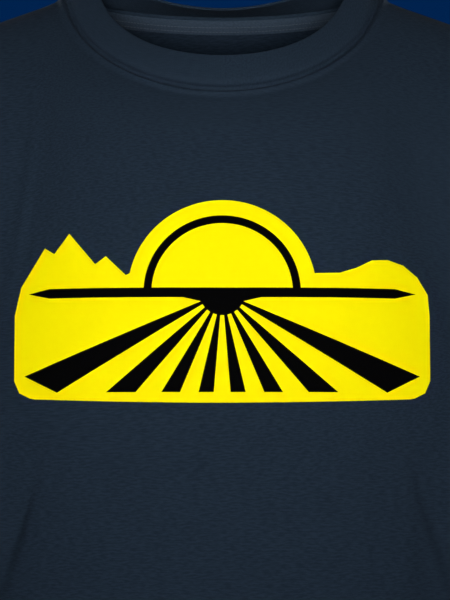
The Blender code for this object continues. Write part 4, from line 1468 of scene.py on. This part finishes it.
class SHIRT_OT_hem_stitches(bpy.types.Operator):
    """Sew the hems of the body and the sleeves with two rows of stitches"""

    bl_idname = "shirt.hem_stitches"
    bl_label = "Hem Stitches"

    def execute(self, context):
        sizes = context.scene.shirt_sizes
        sheet = bpy.data.meshes[SHEET]
        lift = sizes.thread * STITCH_LIFT
        front, back = (hem_rows(body_form(sheet, side, sizes), True, lift) for side in ("front", "back"))
        rows = {"body_hem_stitches": front + back}
        for side in ("left", "right"):
            form = sleeve_form(sheet, side + "_sleeve", sizes)
            rows[side + "_sleeve_stitches"] = hem_rows(form, False, lift)
        thread = bpy.data.materials["navy_thread"]
        for name, lines in rows.items():
            stitch_piece(name, lines, thread, sizes.stitch_pitch, sizes.thread)
        return {"FINISHED"}


class SHIRT_OT_print(bpy.types.Operator):
    """Print the chest with two films of ink"""

    bl_idname = "shirt.chest_print"
    bl_label = "Chest Print"

    def execute(self, context):
        sizes = context.scene.shirt_sizes
        chest = Chest(body_form(bpy.data.meshes[SHEET], "front", sizes), sizes)
        outlines = picture_outlines(sizes.print_half_width)
        lift = INK_LIFT
        for ink in INKS:
            film = print_film(ink + "_print", chest, outlines[ink], lift, sizes.ink)
            film.data.materials.append(bpy.data.materials[ink + "_ink_film"])
            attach(film, "root")
            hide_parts("print_" + ink)
            lift += sizes.ink + INK_GAP
        return {"FINISHED"}


class SHIRT_OT_stage(bpy.types.Operator):
    """Set the floor, the backdrop, the lights and the camera"""

    bl_idname = "shirt.stage"
    bl_label = "Stage"

    def execute(self, context):
        scene = context.scene
        for name, place, aim, size, spread, power in LIGHTS:
            lamp = bpy.data.lights.new(name, "AREA")
            lamp.shape = "DISK"
            lamp.size = size
            lamp.energy = power
            lamp.spread = math.radians(spread)
            aimed(name, lamp, place, aim)
        pale_floor(scene.shirt_colours.floor)
        scene.world = studio_world(scene.shirt_colours)
        scene.view_settings.view_transform = "Standard"
        lens = bpy.data.cameras.new("camera")
        lens.sensor_fit = "VERTICAL"
        lens.sensor_height = SENSOR_HEIGHT
        lens.lens = LENS
        scene.camera = aimed("camera", lens, CAMERA_PLACE, CAMERA_AIM)
        return {"FINISHED"}


OPERATORS = (
    SHIRT_OT_drape,
    SHIRT_OT_materials,
    SHIRT_OT_body,
    SHIRT_OT_sleeves,
    SHIRT_OT_collar,
    SHIRT_OT_neck_tape,
    SHIRT_OT_hem_stitches,
    SHIRT_OT_print,
    SHIRT_OT_stage,
)


class SHIRT_PT_panel(bpy.types.Panel):
    bl_label = "T-Shirt"
    bl_idname = "SHIRT_PT_panel"
    bl_space_type = "VIEW_3D"
    bl_region_type = "UI"
    bl_category = "T-Shirt"

    def draw(self, context):
        for operator in OPERATORS:
            self.layout.operator(operator.bl_idname)
        for group in (context.scene.shirt_sizes, context.scene.shirt_colours):
            box = self.layout.box()
            for name in group.__annotations__:
                box.prop(group, name)


CLASSES = (ShirtSizes, ShirtColours, *OPERATORS, SHIRT_PT_panel)


def register():
    for item in CLASSES:
        bpy.utils.register_class(item)
    bpy.types.Scene.shirt_sizes = bpy.props.PointerProperty(type=ShirtSizes)
    bpy.types.Scene.shirt_colours = bpy.props.PointerProperty(type=ShirtColours)


def unregister():
    del bpy.types.Scene.shirt_colours
    del bpy.types.Scene.shirt_sizes
    for item in reversed(CLASSES):
        bpy.utils.unregister_class(item)


def main():
    register()
    for operator in OPERATORS:
        group, name = operator.bl_idname.split(".")
        getattr(getattr(bpy.ops, group), name)()
    bpy.data.meshes.remove(bpy.data.meshes[SHEET])


if __name__ == "__main__":
    main()
